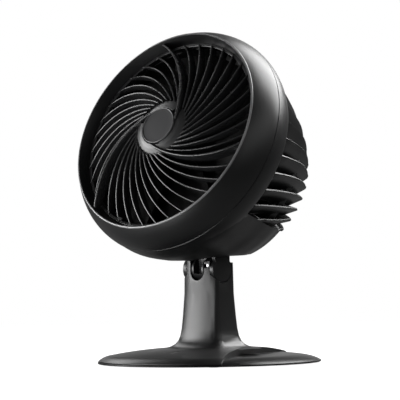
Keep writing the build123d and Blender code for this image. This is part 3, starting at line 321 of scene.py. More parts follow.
def settle(piece, body, finish, place, smooth, stands_for=()):
    """Puts a piece in its place, smooths it, and gives it its finish and its body."""
    only(piece)
    piece.data.transform(place)
    bpy.ops.object.shade_smooth_by_angle(angle=math.radians(smooth))
    piece.data.materials.clear()
    piece.data.materials.append(FINISH[finish])
    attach(piece, body)
    if stands_for:
        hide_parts(*stands_for)


def merged_copy(node, name):
    """A copy of a CAD node with its loose triangles merged."""
    begin()
    source = frame["nodes"][node]
    copy = source.copy()
    copy.data = source.data.copy()
    copy.name = copy.data.name = name
    copy.parent = None
    bpy.context.collection.objects.link(copy)
    edit_all(copy)
    bpy.ops.mesh.remove_doubles(threshold=0.00002)
    bpy.ops.mesh.dissolve_limited(angle_limit=math.radians(0.5))
    leave_edit()
    return copy


# ------------------------------------------------ finishes

FINISH = {}
# Where a noise factor turns wholly dark and wholly light, and how strongly the grain shows.
PATCH_DARK, PATCH_LIGHT = 0.3, 0.7
GRAIN_RELIEF = 0.6


def node_tree(name):
    """A new node material with only an output node."""
    material = bpy.data.materials.new(name)
    material.use_nodes = True
    tree = material.node_tree
    tree.nodes.clear()
    return material, tree, tree.nodes.new("ShaderNodeOutputMaterial")


def noise(tree, scale, detail=3.0):
    """A noise texture on Object coordinates, in metres."""
    place = tree.nodes.new("ShaderNodeTexCoord")
    texture = tree.nodes.new("ShaderNodeTexNoise")
    texture.inputs["Scale"].default_value = scale
    texture.inputs["Detail"].default_value = detail
    tree.links.new(place.outputs["Object"], texture.inputs["Vector"])
    return texture.outputs["Fac"]


def blend_colours(tree, factor, dark, light):
    """Mixes two colours by a noise factor."""
    ramp = tree.nodes.new("ShaderNodeValToRGB")
    ramp.color_ramp.elements[0].position = PATCH_DARK
    ramp.color_ramp.elements[0].color = (*dark, 1.0)
    ramp.color_ramp.elements[1].position = PATCH_LIGHT
    ramp.color_ramp.elements[1].color = (*light, 1.0)
    tree.links.new(factor, ramp.inputs["Fac"])
    return ramp.outputs["Color"]


def remap(tree, factor, low, high, start=0.0, end=1.0, curve="LINEAR"):
    """Carries a factor that runs from start to end to the range low to high."""
    node = tree.nodes.new("ShaderNodeMapRange")
    node.interpolation_type = curve
    node.inputs["From Min"].default_value = start
    node.inputs["From Max"].default_value = end
    node.inputs["To Min"].default_value = low
    node.inputs["To Max"].default_value = high
    tree.links.new(factor, node.inputs["Value"])
    return node.outputs["Result"]


def moulded(name, colour, spread, rough, specular, grain=2600.0, bump=0.00002, metallic=0.0, patch=18.0):
    """A moulded or metal finish: fine grain as bump, slow patches of colour and of roughness."""
    material, tree, output = node_tree(name)
    shader = tree.nodes.new("ShaderNodeBsdfPrincipled")
    shader.inputs["Metallic"].default_value = metallic
    shader.inputs["Specular IOR Level"].default_value = specular
    slow = noise(tree, patch)
    fine = noise(tree, grain, 2.0)
    dark = [value * (1 - spread) for value in colour]
    light = [value * (1 + spread) for value in colour]
    tree.links.new(blend_colours(tree, slow, dark, light), shader.inputs["Base Color"])
    tree.links.new(remap(tree, slow, *rough), shader.inputs["Roughness"])
    relief = tree.nodes.new("ShaderNodeBump")
    relief.inputs["Distance"].default_value = bump
    relief.inputs["Strength"].default_value = GRAIN_RELIEF
    tree.links.new(fine, relief.inputs["Height"])
    tree.links.new(relief.outputs["Normal"], shader.inputs["Normal"])
    tree.links.new(shader.outputs["BSDF"], output.inputs["Surface"])
    return material


# How the grain of each differs from that of moulded plastic.
SHEET = {"grain": 1800.0, "bump": 0.00003}
METAL = {**SHEET, "metallic": 1.0, "patch": 60.0}
WIRE = {"grain": 1500.0, "bump": 0.00004, "metallic": 1.0, "patch": 60.0}
CAST_RUBBER = {"grain": 1600.0, "bump": 0.00005}
POLISHED = {"bump": 0.00001}


def make_finishes(colours):
    """Every finish of the fan, by name."""
    plastic, blades = tuple(colours.plastic), tuple(colours.blades)
    steel, copper, rubber = tuple(colours.steel), tuple(colours.copper), tuple(colours.rubber)
    # Material, colour, its spread, range of roughness, specular level and what else differs.
    finishes = {
        "satin black": ("satin_black_plastic", plastic, 0.15, (0.33, 0.41), 0.4, {}),
        "rib black": ("rib_black_plastic", (0.01, 0.01, 0.0105), 0.15, (0.24, 0.3), 0.8, {}),
        "hub black": ("hub_black_plastic", (0.011, 0.011, 0.0115), 0.15, (0.4, 0.46), 0.8, {}),
        # Painted highlight: the lip bead takes a grey colour that stands for the light line along the black
        # lip.
        "edge gloss": ("edge_gloss_plastic", (0.1, 0.1, 0.102), 0.15, (0.28, 0.34), 0.9, POLISHED),
        "base black": ("base_black_plastic", plastic, 0.15, (0.3, 0.36), 0.14, {}),
        "deep black": ("deep_black_plastic", blades, 0.25, (0.5, 0.58), 0.2, {}),
        "badge grey": ("badge_grey_plastic", (0.03, 0.03, 0.031), 0.1, (0.3, 0.36), 0.5, {}),
        "grey nylon": ("grey_nylon", (0.35, 0.35, 0.34), 0.12, (0.5, 0.6), 0.4, {}),
        "zinc steel": ("zinc_steel", steel, 0.12, (0.28, 0.4), 0.5, METAL),
        # Painted shade: the motor's steel parts take a near-black colour that darkens the inside of the head.
        "painted steel": ("painted_steel", (0.012, 0.012, 0.013), 0.2, (0.45, 0.55), 0.4, SHEET),
        "bronze": ("sintered_bronze", (0.4, 0.23, 0.1), 0.12, (0.4, 0.5), 0.5, METAL),
        "copper": ("enamelled_copper", copper, 0.16, (0.25, 0.35), 0.5, WIRE),
        "rubber": ("black_rubber", rubber, 0.25, (0.7, 0.8), 0.25, CAST_RUBBER),
    }
    for name, (*values, grain) in finishes.items():
        FINISH[name] = moulded(*values, **grain)


# Finish of the CAD nodes that show as they are. Any other node is satin black.
NODE_FINISH = {
    "zinc steel": (
        "housing_screws", "motor_screws", "stator_screws", "bracket_screws", "base_screws", "pivot_bolt",
        "pivot_nut", "tilt_stop_pin", "rotor_shaft", "spinner_nut", "switch_shaft",
    ),
    # Painted shade: the motor's cores and brackets are coloured near-black to darken the inside of the head.
    "painted steel": ("stator_core", "rotor_core", "motor_front_bracket", "motor_rear_bracket"),
    "rib black": ("grille_lock_tab",),
    "copper": ("stator_windings",),
    "bronze": ("front_bearing", "rear_bearing"),
    "grey nylon": ("friction_washer_right", "friction_washer_left"),
}


class FanNodeFinishes(bpy.types.Operator):
    """Makes the finishes and gives every carried CAD node its own"""

    bl_idname = "fan.node_finishes"
    bl_label = "Finishes"

    def execute(self, context):
        make_finishes(context.scene.fan_colours)
        chosen = {node: name for name, nodes in NODE_FINISH.items() for node in nodes}
        for name, node in frame["nodes"].items():
            node.data.materials.clear()
            node.data.materials.append(FINISH[chosen.get(name, "satin black")])
        return {"FINISHED"}


# ------------------------------------------------ head

# The belt's arc and the seam at its widest place, with half of the gap on each side.
BULGE_RADIUS = 52.3
SEAM_DEPTH = 34.5
SEAM_GAP = 0.2
SHELL = 2.6
# The bowl steps down inside the lip to the grille's ledge, and the duct starts behind it.
STEP_INSET = 17.9
STEP_DEPTH = 12.4
LEDGE_DEPTH = 18.4
DUCT_INSET = 22.5
DUCT_WALL = 2.4
# The bead along the lip: its radius, and how far outside and behind the lip's inner edge its middle lies.
BEAD_RADIUS = 1.35
BEAD_OUT = 1.15
BEAD_DEPTH = 1.8
BEAD_POINTS = 18

# A rib's flat arc runs through an inner and a middle point, each a radius and an angle, and an outer one.
RIB_INNER = (22.7, 25.0)
RIB_MIDDLE = (54.0, 81.5)
RIB_OUTER_TURN = 113.6
RIB_PAST_STEP = 1.7
# Radius and height of a rib's front edge at an inner and a middle place, and how deep the rib is there and
# at its outer end.
PLAIN_CROWN = ((20.0, 8.0), (75.0, 0.6))
PLAIN_DEPTHS = (11.5, 11.0, 7.0)
PROUD_CROWN = ((18.0, 12.4), (75.0, 6.0))
PROUD_DEPTHS = (16.0, 15.0, 12.0)
PROUD_EVERY = 12
RIB_STEPS = 40
RIB_HOOP_WIDTH = 3.6
GRILLE_FIT = 0.2

# Heights of the hub's floor and of a ramp at its rim and beside the badge, and how far a ramp falls.
HUB_FLOOR = -3.0
HUB_RISE = 6.2
HUB_INNER_RISE = 11.2
HUB_DROP = 3.6
RAMP_COUNT = 3
RAMP_SWEEP = 360.0 / RAMP_COUNT
# Angle from a proud rib's inner end to the high end of a ramp.
RAMP_LEAD = 29.0
BADGE_GAP = 0.6
BADGE_RISE = 12.0
# The badge's raised rim as distances in from its edge and down from its top, and its face as shares of its
# radius and distances down.
BADGE_RIM = (
    (0.0, 0.8), (0.15, 0.4), (0.4, 0.12), (0.75, 0.0), (1.1, 0.12), (1.35, 0.45), (1.6, 0.9), (2.0, 0.95),
)
BADGE_DOME = ((0.6, 0.65), (0.3, 0.5), (0.0, 0.45))


def bulge(belt, depth, inset=0.0):
    """Radius of the round belt at a depth behind the lip, less an inset along its normal."""
    return belt - BULGE_RADIUS + math.sqrt((BULGE_RADIUS - inset) ** 2 - (depth - SEAM_DEPTH) ** 2)


def bulge_run(belt, start, end, inset=0.0, steps=20):
    """Outline corners along the belt between two depths."""
    run = []
    for step in range(steps + 1):
        depth = start + (end - start) * step / steps
        run.append((bulge(belt, depth, inset), -depth, 0.0))
    return run


class FanFrontRing(bpy.types.Operator):
    """The round front shell: lip with its bead, sloping bowl, ledge for the grille, and duct"""

    bl_idname = "fan.front_ring"
    bl_label = "Front ring"

    def execute(self, context):
        sizes = context.scene.fan_head
        belt = sizes.belt_radius / MM
        lip = sizes.lip_radius / MM
        step = belt - STEP_INSET
        duct = belt - DUCT_INSET
        seam = SEAM_DEPTH - SEAM_GAP / 2
        outline = [(lip + 0.05, -0.6, 0.2), (lip + 1.2, -0.5, 0.3)]
        outline += bulge_run(belt, 1.1, seam - 0.6)
        outline += [(bulge(belt, seam) - 0.7, -seam, 0.0), (bulge(belt, seam, SHELL), -seam, 0.0)]
        outline += bulge_run(belt, seam - 1, 6.0, SHELL, 8)
        outline += [
            (step + DUCT_WALL, -7.5, 0.0),
            (step + DUCT_WALL, -LEDGE_DEPTH - DUCT_WALL, 0.0),
            (duct + DUCT_WALL, -LEDGE_DEPTH - DUCT_WALL, 0.0),
            (duct + DUCT_WALL, -seam, 0.0),
            (duct, -seam, 0.0),
            (duct, -LEDGE_DEPTH, 0.8),
            (step, -LEDGE_DEPTH, 0.3),
            (step, -STEP_DEPTH, 0.9),
        ]
        ring = spun("ring_shell", rounded(outline), steps=160)
        settle(ring, "head", "satin black", HEAD, 28.0, ("front_ring",))
        wire = []
        for i in range(BEAD_POINTS):
            turn = polar(BEAD_RADIUS, 360.0 * i / BEAD_POINTS)
            wire.append((lip + BEAD_OUT + turn.x, turn.y - BEAD_DEPTH))
        bead = spun("lip_bead", wire, steps=200)
        # The bead's grey colour is a painted highlight line round the lip.
        settle(bead, "head", "edge gloss", HEAD, 60.0)
        return {"FINISHED"}


class RibPlan:
    """The flat arc that a rib follows, and how high its front edge stands at a radius."""

    def __init__(self, step_radius, crown, depths):
        outer = polar(step_radius + RIB_PAST_STEP, RIB_OUTER_TURN)
        inner, middle = polar(*RIB_INNER), polar(*RIB_MIDDLE)
        self.centre, self.radius = circle_through(inner.xy, middle.xy, outer.xy)
        self.crown_centre, self.crown_radius = circle_through(*crown)
        back = [(radius, height - depth) for (radius, height), depth in zip(crown, depths)]
        self.back_centre, self.back_radius = circle_through(*back)
        self.away = math.atan2(self.centre.y, self.centre.x)
        lean = math.atan2(inner.y - self.centre.y, inner.x - self.centre.x) - self.away
        self.side = math.copysign(1.0, math.sin(lean))

    def turn_at(self, radius):
        """Angle about the arc's centre of the point at a radius from the hub's axis."""
        reach = self.centre.length
        cosine = (radius ** 2 - reach ** 2 - self.radius ** 2) / (2 * self.radius * reach)
        return self.away + self.side * math.acos(max(-1.0, min(1.0, cosine)))

    def height(self, radius):
        return self.crown_centre.y + math.sqrt(self.crown_radius ** 2 - (radius - self.crown_centre.x) ** 2)

    def back(self, radius):
        """Height of the rib's rear edge, which the grille's ledge limits."""
        low = self.back_centre.y + math.sqrt(self.back_radius ** 2 - (radius - self.back_centre.x) ** 2)
        return max(low, -LEDGE_DEPTH)


def swirled_rib(name, plan, width, start_radius, end_radius, round_edge):
    """One deep rib: an upright section with a rounded front edge, spun along its arc and domed.

    The section is drawn at a nominal depth, and its edges go to their own heights once it is spun.
    """
    start, end = plan.turn_at(start_radius), plan.turn_at(end_radius)
    half = width / 2
    nominal = 6.0
    section = wall_section(-half, half, -nominal, 0.0, (0.25, 0.25, round_edge, round_edge), steps=3)
    points = []
    for across, up in section:
        place = plan.centre + Vector((math.cos(start), math.sin(start))) * (plan.radius + across)
        points.append((place.x, place.y, up))
    rib = spin_piece(wire_loop(name, points), RIB_STEPS, end - start, plan.centre)
    for vertex in rib.data.vertices:
        radius = vertex.co.xy.length / MM
        if vertex.co.z / MM < -nominal / 2:
            vertex.co.z += (plan.back(radius) + nominal) * MM
        else:
            vertex.co.z += plan.height(radius) * MM
    return rib


class FanGrilleRibs(bpy.types.Operator):
    """The swirling ribs of the front grille on their hoop, every twelfth one proud"""

    bl_idname = "fan.grille_ribs"
    bl_label = "Grille ribs"

    def execute(self, context):
        sizes = context.scene.fan_head
        step = sizes.belt_radius / MM - STEP_INSET
        lip = sizes.lip_radius / MM
        hub = sizes.hub_radius / MM
        badge = sizes.badge_radius / MM
        plain_plan = RibPlan(step, (*PLAIN_CROWN, (step + 3.4, -14.0)), PLAIN_DEPTHS)
        proud_plan = RibPlan(step, (*PROUD_CROWN, (lip + 1.1, -3.2)), PROUD_DEPTHS)
        # A plain rib runs from inside the hub to its hoop, and a proud one from beside the badge to the lip.
        plain_ends = (hub - 1.5, step - 0.7)
        proud_ends = (badge + BADGE_GAP + 0.4, lip - 0.8)
        plain = swirled_rib("plain_rib", plain_plan, sizes.rib_width / MM, *plain_ends, round_edge=0.65)
        proud = swirled_rib("proud_rib", proud_plan, sizes.main_rib_width / MM, *proud_ends, round_edge=0.9)
        pitch = 360.0 / sizes.rib_count
        ribs = []
        for i in range(sizes.rib_count):
            model = proud if i % PROUD_EVERY == 0 else plain
            ribs.append(turned_copy(model, f"rib_{i + 1:02d}", i * pitch))
        for model in (plain, proud):
            bpy.data.objects.remove(model)
        outer = step - GRILLE_FIT
        section = wall_section(outer - RIB_HOOP_WIDTH, outer, -LEDGE_DEPTH, -STEP_DEPTH, (0.3, 0.3, 0.6, 0.6))
        hoop = spun("rib_hoop", section)
        grille = join([hoop] + ribs, "grille_ribs")
        settle(grille, "head", "rib black", HEAD, 40.0, ("front_grille",))
        return {"FINISHED"}


class FanGrilleHub(bpy.types.Operator):
    """The swirled hub: three ramps round the badge, each highest beside its proud rib"""

    bl_idname = "fan.grille_hub"
    bl_label = "Grille hub"

    def execute(self, context):
        sizes = context.scene.fan_head
        outer = sizes.hub_radius / MM
        inner = sizes.badge_radius / MM + BADGE_GAP
        first = RIB_INNER[1] + RAMP_LEAD
        section = rounded([
            (inner, HUB_FLOOR, 0.0),
            (outer, HUB_FLOOR, 0.3),
            (outer, HUB_RISE - 2.0, 0.5),
            (outer - 2.6, HUB_RISE + 0.8, 2.0),
            (outer - 7.5, HUB_INNER_RISE - 1.4, 3.0),
            (inner, HUB_INNER_RISE, 0.6),
        ], 5)
        points = [(*polar(r, first).xy, h) for r, h in section]
        ramp = spin_piece(wire_loop("hub_ramp", points), 30, math.radians(RAMP_SWEEP))
        for vertex in ramp.data.vertices:
            turn = (math.degrees(math.atan2(vertex.co.y, vertex.co.x)) - first) % 360.0
            part = turn / RAMP_SWEEP if turn < 2 * RAMP_SWEEP else 0.0
            rise = max(0.0, (vertex.co.z / MM - HUB_FLOOR) / (HUB_RISE - HUB_FLOOR))
            outwards = (vertex.co.xy.length / MM - inner) / (outer - inner)
            vertex.co.z -= HUB_DROP * part * min(rise, 1.0) * (0.5 + 0.5 * outwards) * MM
        ramps = [turned_copy(ramp, f"hub_ramp_{i + 1}", RAMP_SWEEP * i) for i in range(RAMP_COUNT)]
        bpy.data.objects.remove(ramp)
        edge, top = inner + 1.0, 1.0
        floor = spun_disc("hub_floor", [(0.0, HUB_FLOOR), (edge, HUB_FLOOR), (edge, top), (0.0, top)])
        hub = join([floor] + ramps, "grille_hub")
        settle(hub, "head", "hub black", HEAD, 40.0)
        return {"FINISHED"}


class FanBadge(bpy.types.Operator):
    """The plain domed disc in the hub, with a fine rim"""

    bl_idname = "fan.badge"
    bl_label = "Badge"

    def execute(self, context):
        radius = context.scene.fan_head.badge_radius / MM
        outline = [(0.0, HUB_FLOOR + 4.0), (radius, HUB_FLOOR + 4.0)]
        outline += [(radius - inset, BADGE_RISE - drop) for inset, drop in BADGE_RIM]
        outline += [(radius * share, BADGE_RISE - drop) for share, drop in BADGE_DOME]
        badge = spun_disc("badge_disc", outline)
        settle(badge, "head", "badge grey", HEAD, 30.0, ("hub_badge",))
        return {"FINISHED"}


# ------------------------------------------------ rear cage

CAGE_FRONT = 61.5
CAGE_END = 162.0
# Depth and distance inside the belt of a fin's outer edge, then of its inner edge.
FIN_RUN = (
    (CAGE_FRONT, 9.0, CAGE_FRONT, 19.5),
    (79.0, 14.9, 78.0, 25.4),
    (97.0, 21.0, 95.0, 31.5),
    (108.0, 24.8, 105.0, 35.0),
    (119.0, 29.1, 115.5, 39.0),
    (128.0, 33.4, 123.5, 42.8),
    (137.0, 38.5, 131.0, 47.0),
    (143.0, 42.2, 136.8, 50.3),
    (149.0, 46.5, 142.0, 54.0),
    (154.0, 49.6, 146.0, 57.0),
    (158.5, 54.0, 149.5, 61.0),
    (161.2, 60.0, 151.8, 66.0),
    (CAGE_END, 66.0, 152.5, 70.0),
    (CAGE_END, 83.0, 152.5, 83.0),
)
# Angles: a fin's swirl from front to back, how far its inner edge lags, and the first fin's place.
FIN_TURN = 17.0
FIN_SLANT = 9.0
FIN_FIRST = -49.2
# The hoop inside the fins and the ring round the cover.
CAGE_HOOP_INSET = 36.5
CAGE_HOOP_WIDTH = 3.0
CAGE_HOOP_DEPTHS = (113.0, 121.0)
CAGE_HUB_RADII = (42.0, 45.0)
CAGE_HUB_FRONT = 152.0
# Angles between which the head's belly is closed, and how near to them a fin starts that would reach in.
BELLY_START = 215.0
BELLY_END = 325.0
BELLY_REACH = 15.0


def clear_of_belly(piece, start):
    """Cuts away what a fin that starts at an angle would leave in the closed belly."""
    for edge, side in ((BELLY_START, -1.0), (BELLY_END, 1.0)):
        if abs((start - edge + 180.0) % 360.0 - 180.0) > BELLY_REACH:
            continue
        across = polar(1.0, edge + 90.0) * side
        edit_all(piece)
        bpy.ops.mesh.bisect(plane_co=(0.0, 0.0, 0.0), plane_no=across, use_fill=True, clear_inner=True)
        leave_edit()


def cage_fin(belt, width):
    """One fin along the x axis: a strip laid out by FIN_RUN, thickened, rounded and swirled."""
    steps = len(FIN_RUN) - 1
    begin()
    bpy.ops.mesh.primitive_grid_add(x_subdivisions=steps, y_subdivisions=1, size=1.0)
    fin = bpy.context.object
    for vertex in fin.data.vertices:
        depth_out, drop_out, depth_in, drop_in = FIN_RUN[round((vertex.co.x + 0.5) * steps)]
        if vertex.co.y > 0:
            vertex.co = Vector((belt - drop_out, 0.0, -depth_out)) * MM
        else:
            vertex.co = polar(belt - drop_in, -FIN_SLANT, -depth_in) * MM
    solidify(fin, width)
    bevel(fin, 0.9, angle=50.0)
    for vertex in fin.data.vertices:
        back = (-vertex.co.z / MM - CAGE_FRONT) / (CAGE_END - CAGE_FRONT)
        vertex.co.rotate(Matrix.Rotation(math.radians(FIN_TURN) * back, 3, "Z"))
    edit_all(fin)
    face_outwards()
    return fin


class FanCage(bpy.types.Operator):
    """The swirling fins of the rear cage with their hub ring and inner hoop"""

    bl_idname = "fan.cage"
    bl_label = "Rear cage"

    def execute(self, context):
        belt = context.scene.fan_head.belt_radius / MM
        sizes = context.scene.fan_cage
        fin = cage_fin(belt, sizes.fin_width / MM)
        fins = []
        for i in range(sizes.fin_count):
            start = FIN_FIRST + i * math.degrees(sizes.fin_pitch)
            copy = turned_copy(fin, f"fin_{i + 1:02d}", start)
            clear_of_belly(copy, start)
            fins.append(copy)
        bpy.data.objects.remove(fin)
        inner = belt - CAGE_HOOP_INSET - CAGE_HOOP_WIDTH / 2
        front, back = CAGE_HOOP_DEPTHS
        section = wall_section(inner, inner + CAGE_HOOP_WIDTH, -back, -front, (0.6, 0.9, 0.9, 0.6))
        first, last = BELLY_END - 360.0, BELLY_START
        points = [(*polar(r, first).xy, h) for r, h in section]
        hoop = spin_piece(wire_loop("cage_hoop", points), 100, math.radians(last - first))
        section = wall_section(*CAGE_HUB_RADII, -CAGE_END, -CAGE_HUB_FRONT, (0.5, 0.8, 0.5, 0.5))
        hub = spun("cage_hub", section)
        cage = join([hub, hoop] + fins, "cage_fins")
        settle(cage, "head", "satin black", HEAD, 40.0, ("rear_grille",))
        return {"FINISHED"}


# ------------------------------------------------ softened shells

# Node, piece, finish, edge radius in millimetres and the angle below which faces run smoothly together.
SOFT_SHELLS = (
    ("rear_housing", "housing_shell", "satin black", 0.35, 32.0),
    ("neck_column", "neck_shell", "satin black", 0.4, 32.0),
    ("tilt_bracket", "tilt_bracket_shell", "satin black", 0.5, 40.0),
    ("ear_cap_right", "ear_cap_right_shell", "satin black", 1.5, 60.0),
    ("ear_cap_left", "ear_cap_left_shell", "satin black", 1.5, 60.0),
    ("rear_cover", "rear_cover_shell", "satin black", 0.6, 40.0),
    ("base_plate", "base_plate_shell", "satin black", 0.3, 40.0),
    ("speed_switch", "switch_body", "deep black", 0.4, 40.0),
)
# The neck's rear face, the height of its shoulder and the rounding between them.
NECK_REAR = 20.9
NECK_SHOULDER = 111.5
NECK_ROUND = 16.0
PIVOT_Y = -3.0
# The near ear is drawn out to meet the neck's rounded corner, and the far one in behind the neck's front.
EAR_DRAW = {"ear_cap_right": 1.2, "ear_cap_left": 0.8}
# Turns an outline of (y, z), extruded along z, so that it runs along x.
FROM_SIDE = Matrix(((0.0, 0.0, 1.0), (1.0, 0.0, 0.0), (0.0, 1.0, 0.0))).to_4x4()
BODY_OF = {node: body for body, nodes in frame["record"]["behaviour"]["bodies"].items() for node in nodes}


def round_neck_corner(shell):
    """Rounds the upper rear corner of the neck, beside the ears."""
    across, up = NECK_REAR - NECK_ROUND, NECK_SHOULDER - NECK_ROUND
    past, half_width, steps = 4.0, 30.0, 10
    outline = []
    for step in range(steps + 1):
        turn = math.radians(90.0 / steps * step)
        outline.append((across + NECK_ROUND * math.cos(turn), up + NECK_ROUND * math.sin(turn)))
    top, rear = NECK_SHOULDER + past, NECK_REAR + past
    outline += [(across, top), (rear, top), (rear, up)]
    tool = prism("neck_corner", outline, -half_width, half_width)
    tool.data.transform(FROM_SIDE)
    carve(shell, tool, "DIFFERENCE")


def draw_ear(shell, share):
    """Moves the ear's front and rear edges out from the pivot, or in towards it."""
    pivot = PIVOT_Y * MM
    for vertex in shell.data.vertices:
        vertex.co.y = pivot + (vertex.co.y - pivot) * share


class FanSoftShells(bpy.types.Operator):
    """Moulded shells with softened edges and smooth faces, from copies of their nodes"""

    bl_idname = "fan.soft_shells"
    bl_label = "Softened shells"

    def execute(self, context):
        for node, name, finish, radius, smooth in SOFT_SHELLS:
            shell = merged_copy(node, name)
            if node == "neck_column":
                round_neck_corner(shell)
            if node in EAR_DRAW:
                draw_ear(shell, EAR_DRAW[node])
            bevel(shell, radius, segments=3)
            settle(shell, BODY_OF[node], finish, STAND, smooth, (node,))
        return {"FINISHED"}


# ------------------------------------------------ propeller, knob and feet

# The middle of the blades, the room that they are trimmed to, their camber as a share of the chord, and the
# first one's angle.
BLADE_DEPTH = 41.0
BLADE_ROOM = 80.0
BLADE_ROOT = 31.0
BLADE_TIP = 103.0
BLADE_THICKNESS = 2.2
BLADE_CAMBER = 0.07
FIRST_BLADE = 20.0
# Distance out along the blade, chord, pitch in degrees and sweep.
BLADE_RUN = (
    (26.0, 64.0, 31.0, 0.0),
    (40.0, 87.0, 23.5, 2.8),
    (55.0, 102.0, 19.0, 6.0),
    (68.0, 110.0, 17.0, 10.0),
    (80.0, 119.0, 15.2, 14.0),
    (93.0, 127.0, 13.8, 19.0),
    (106.0, 134.0, 13.0, 24.0),
)
CHORD_STEPS = 12
# Radius, height and rounding of the cup's section, from its bore outwards and back.
PROPELLER_CUP = (
    (3.0, -54.0, 0.0), (8.0, -54.0, 0.4), (8.0, -24.6, 0.6), (15.0, -24.6, 0.5), (24.0, -26.4, 4.0),
    (29.4, -33.0, 1.0), (29.4, -54.0, 0.3), (32.0, -54.0, 0.6), (32.0, -33.0, 1.0), (26.0, -24.6, 5.0),
    (16.0, -22.0, 2.0), (3.0, -22.0, 0.0),
)
# Heights between which the knob's disc, its grip and its skirt run.
KNOB_DISC = (-173.6, -167.6)
KNOB_GRIP = (-184.6, -172.8)
KNOB_SKIRT = (-172.6, -165.8)
SKIRT_INSET = 1.0
SKIRT_WALL = 2.4
FLUTES = 36
FLUTE_STEPS = 8
FLUTE_DEPTH = 0.45
GRIP_INSET = 2.0
GRIP_HALF_WIDTH = 3.5
GRIP_ROUND = 3.3
# The feet's circle inside the base's rim, and a foot's profile as distances in from its side and heights.
FOOT_INSET = 29.0
FOOT_PROFILE = ((3.2, 0.25), (2.6, 0.0), (0.9, 0.0), (0.35, 0.2), (0.0, 0.8), (0.0, 2.2))


def fan_blade():
    """One thin cambered blade, trimmed to the tip circle and to the hub."""
    span = len(BLADE_RUN) - 1
    begin()
    bpy.ops.mesh.primitive_grid_add(x_subdivisions=span, y_subdivisions=CHORD_STEPS, size=1.0)
    blade = bpy.context.object
    blade.name = blade.data.name = "blade"
    for vertex in blade.data.vertices:
        out, chord, pitch, sweep = BLADE_RUN[round((vertex.co.x + 0.5) * span)]
        along = vertex.co.y * chord
        camber = BLADE_CAMBER * chord * (1 - (2 * vertex.co.y) ** 2)
        turn = math.radians(pitch)
        across = sweep + along * math.cos(turn) - camber * math.sin(turn)
        height = along * math.sin(turn) + camber * math.cos(turn) - BLADE_DEPTH
        vertex.co = Vector((out, across, height)) * MM
    solidify(blade, BLADE_THICKNESS)
    section = wall_section(BLADE_ROOT, BLADE_TIP, -BLADE_ROOM, 0.0, (0.0,) * 4)
    carve(blade, spun("blade_room", section, steps=180), "INTERSECT")
    bevel(blade, 0.5, angle=50.0)
    return blade


class FanPropeller(bpy.types.Operator):
    """The wide-bladed propeller on its cupped hub"""

    bl_idname = "fan.propeller"
    bl_label = "Propeller"

    def execute(self, context):
        count = context.scene.fan_head.blade_count
        model = fan_blade()
        blades = [turned_copy(model, f"blade_{i + 1}", FIRST_BLADE + i * 360.0 / count) for i in range(count)]
        bpy.data.objects.remove(model)
        cup = spun("propeller_cup", rounded(PROPELLER_CUP, 5), steps=96)
        fan = join([cup] + blades, "propeller_blades")
        settle(fan, "rotor", "deep black", HEAD, 40.0, ("propeller",))
        return {"FINISHED"}


class FanKnob(bpy.types.Operator):
    """The fluted speed knob with its pointer grip"""

    bl_idname = "fan.knob"
    bl_label = "Speed knob"

    def execute(self, context):
        radius = context.scene.fan_stand.knob_radius / MM
        flutes = []
        for step in range(FLUTES * FLUTE_STEPS):
            turn = math.tau * step / (FLUTES * FLUTE_STEPS)
            reach = radius - FLUTE_DEPTH * (0.5 - 0.5 * math.cos(FLUTES * turn)) ** 2
            flutes.append((reach * math.cos(turn), reach * math.sin(turn)))
        disc = prism("knob_disc", flutes, *KNOB_DISC)
        bevel(disc, 0.7, segments=3, angle=60.0)
        half, side = radius - GRIP_INSET, GRIP_HALF_WIDTH
        outline = wall_section(-half, half, -side, side, (GRIP_ROUND,) * 4, steps=8)
        grip = prism("knob_grip", outline, *KNOB_GRIP)
        bevel(grip, 1.1, segments=4, angle=60.0)
        edge = radius - SKIRT_INSET
        section = wall_section(edge - SKIRT_WALL, edge, *KNOB_SKIRT, (0.0, 0.0, 0.5, 0.5))
        skirt = spun("knob_skirt", section, steps=96)
        knob = join([disc, grip, skirt], "knob_dial")
        settle(knob, "knob", "satin black", HEAD, 40.0, ("speed_knob",))
        return {"FINISHED"}


class FanFeet(bpy.types.Operator):
    """Four rubber feet with a rounded tread"""

    bl_idname = "fan.feet"
    bl_label = "Rubber feet"

    def execute(self, context):
        sizes = context.scene.fan_stand
        radius = sizes.foot_radius / MM
        circle = sizes.base_radius / MM - FOOT_INSET
        profile = [(radius - inset, height) for inset, height in FOOT_PROFILE]
        tread, top = profile[0][1], profile[-1][1]
        model = spun_disc("foot", [(0.0, tread), *profile, (0.0, top)], steps=48)
        for i in range(4):
            foot = turned_copy(model, f"foot_pad_{i + 1}")
            place = Matrix.Translation(polar(circle, 45.0 + 90.0 * i) * MM)
            settle(foot, "stand", "rubber", place, 40.0, (f"rubber_foot_{i + 1}",))
        bpy.data.objects.remove(model)
        return {"FINISHED"}


# ------------------------------------------------ base

# The saucer's section as distances in from the rim and heights: its shoulder, the bead, and its underside.
BASE_TOP = 9.8
BASE_WALL = 2.4
BASE_SHOULDER = (
    (29.0, BASE_TOP), (24.0, 9.55), (19.0, 9.0), (14.0, 8.15), (10.0, 7.2), (7.0, 6.25), (4.6, 5.3),
    (2.6, 4.35), (1.5, 3.65),
)
BASE_BEAD = ((1.1, 3.3), (0.6, 3.2), (0.15, 2.95), (0.0, 2.6), (0.0, 2.1), (0.3, 1.6), (1.2, 1.2))
BASE_UNDER = ((4.6, 1.2), (4.6, 3.4), (29.0, BASE_TOP - BASE_WALL))


class FanBase(bpy.types.Operator):
    """The round saucer with its convex shoulder and the fine bead at the rim"""

    bl_idname = "fan.base"
    bl_label = "Base"

    def execute(self, context):
        rim = context.scene.fan_stand.base_radius / MM
        outline = [(0.0, BASE_TOP)]
        outline += [(rim - inset, height) for inset, height in BASE_SHOULDER + BASE_BEAD + BASE_UNDER]
        outline += [(0.0, BASE_TOP - BASE_WALL)]
        base = spun_disc("base_shell", outline, steps=160)
        settle(base, "stand", "base black", STAND, 30.0, ("base_disc",))
        return {"FINISHED"}


# ------------------------------------------------ stage

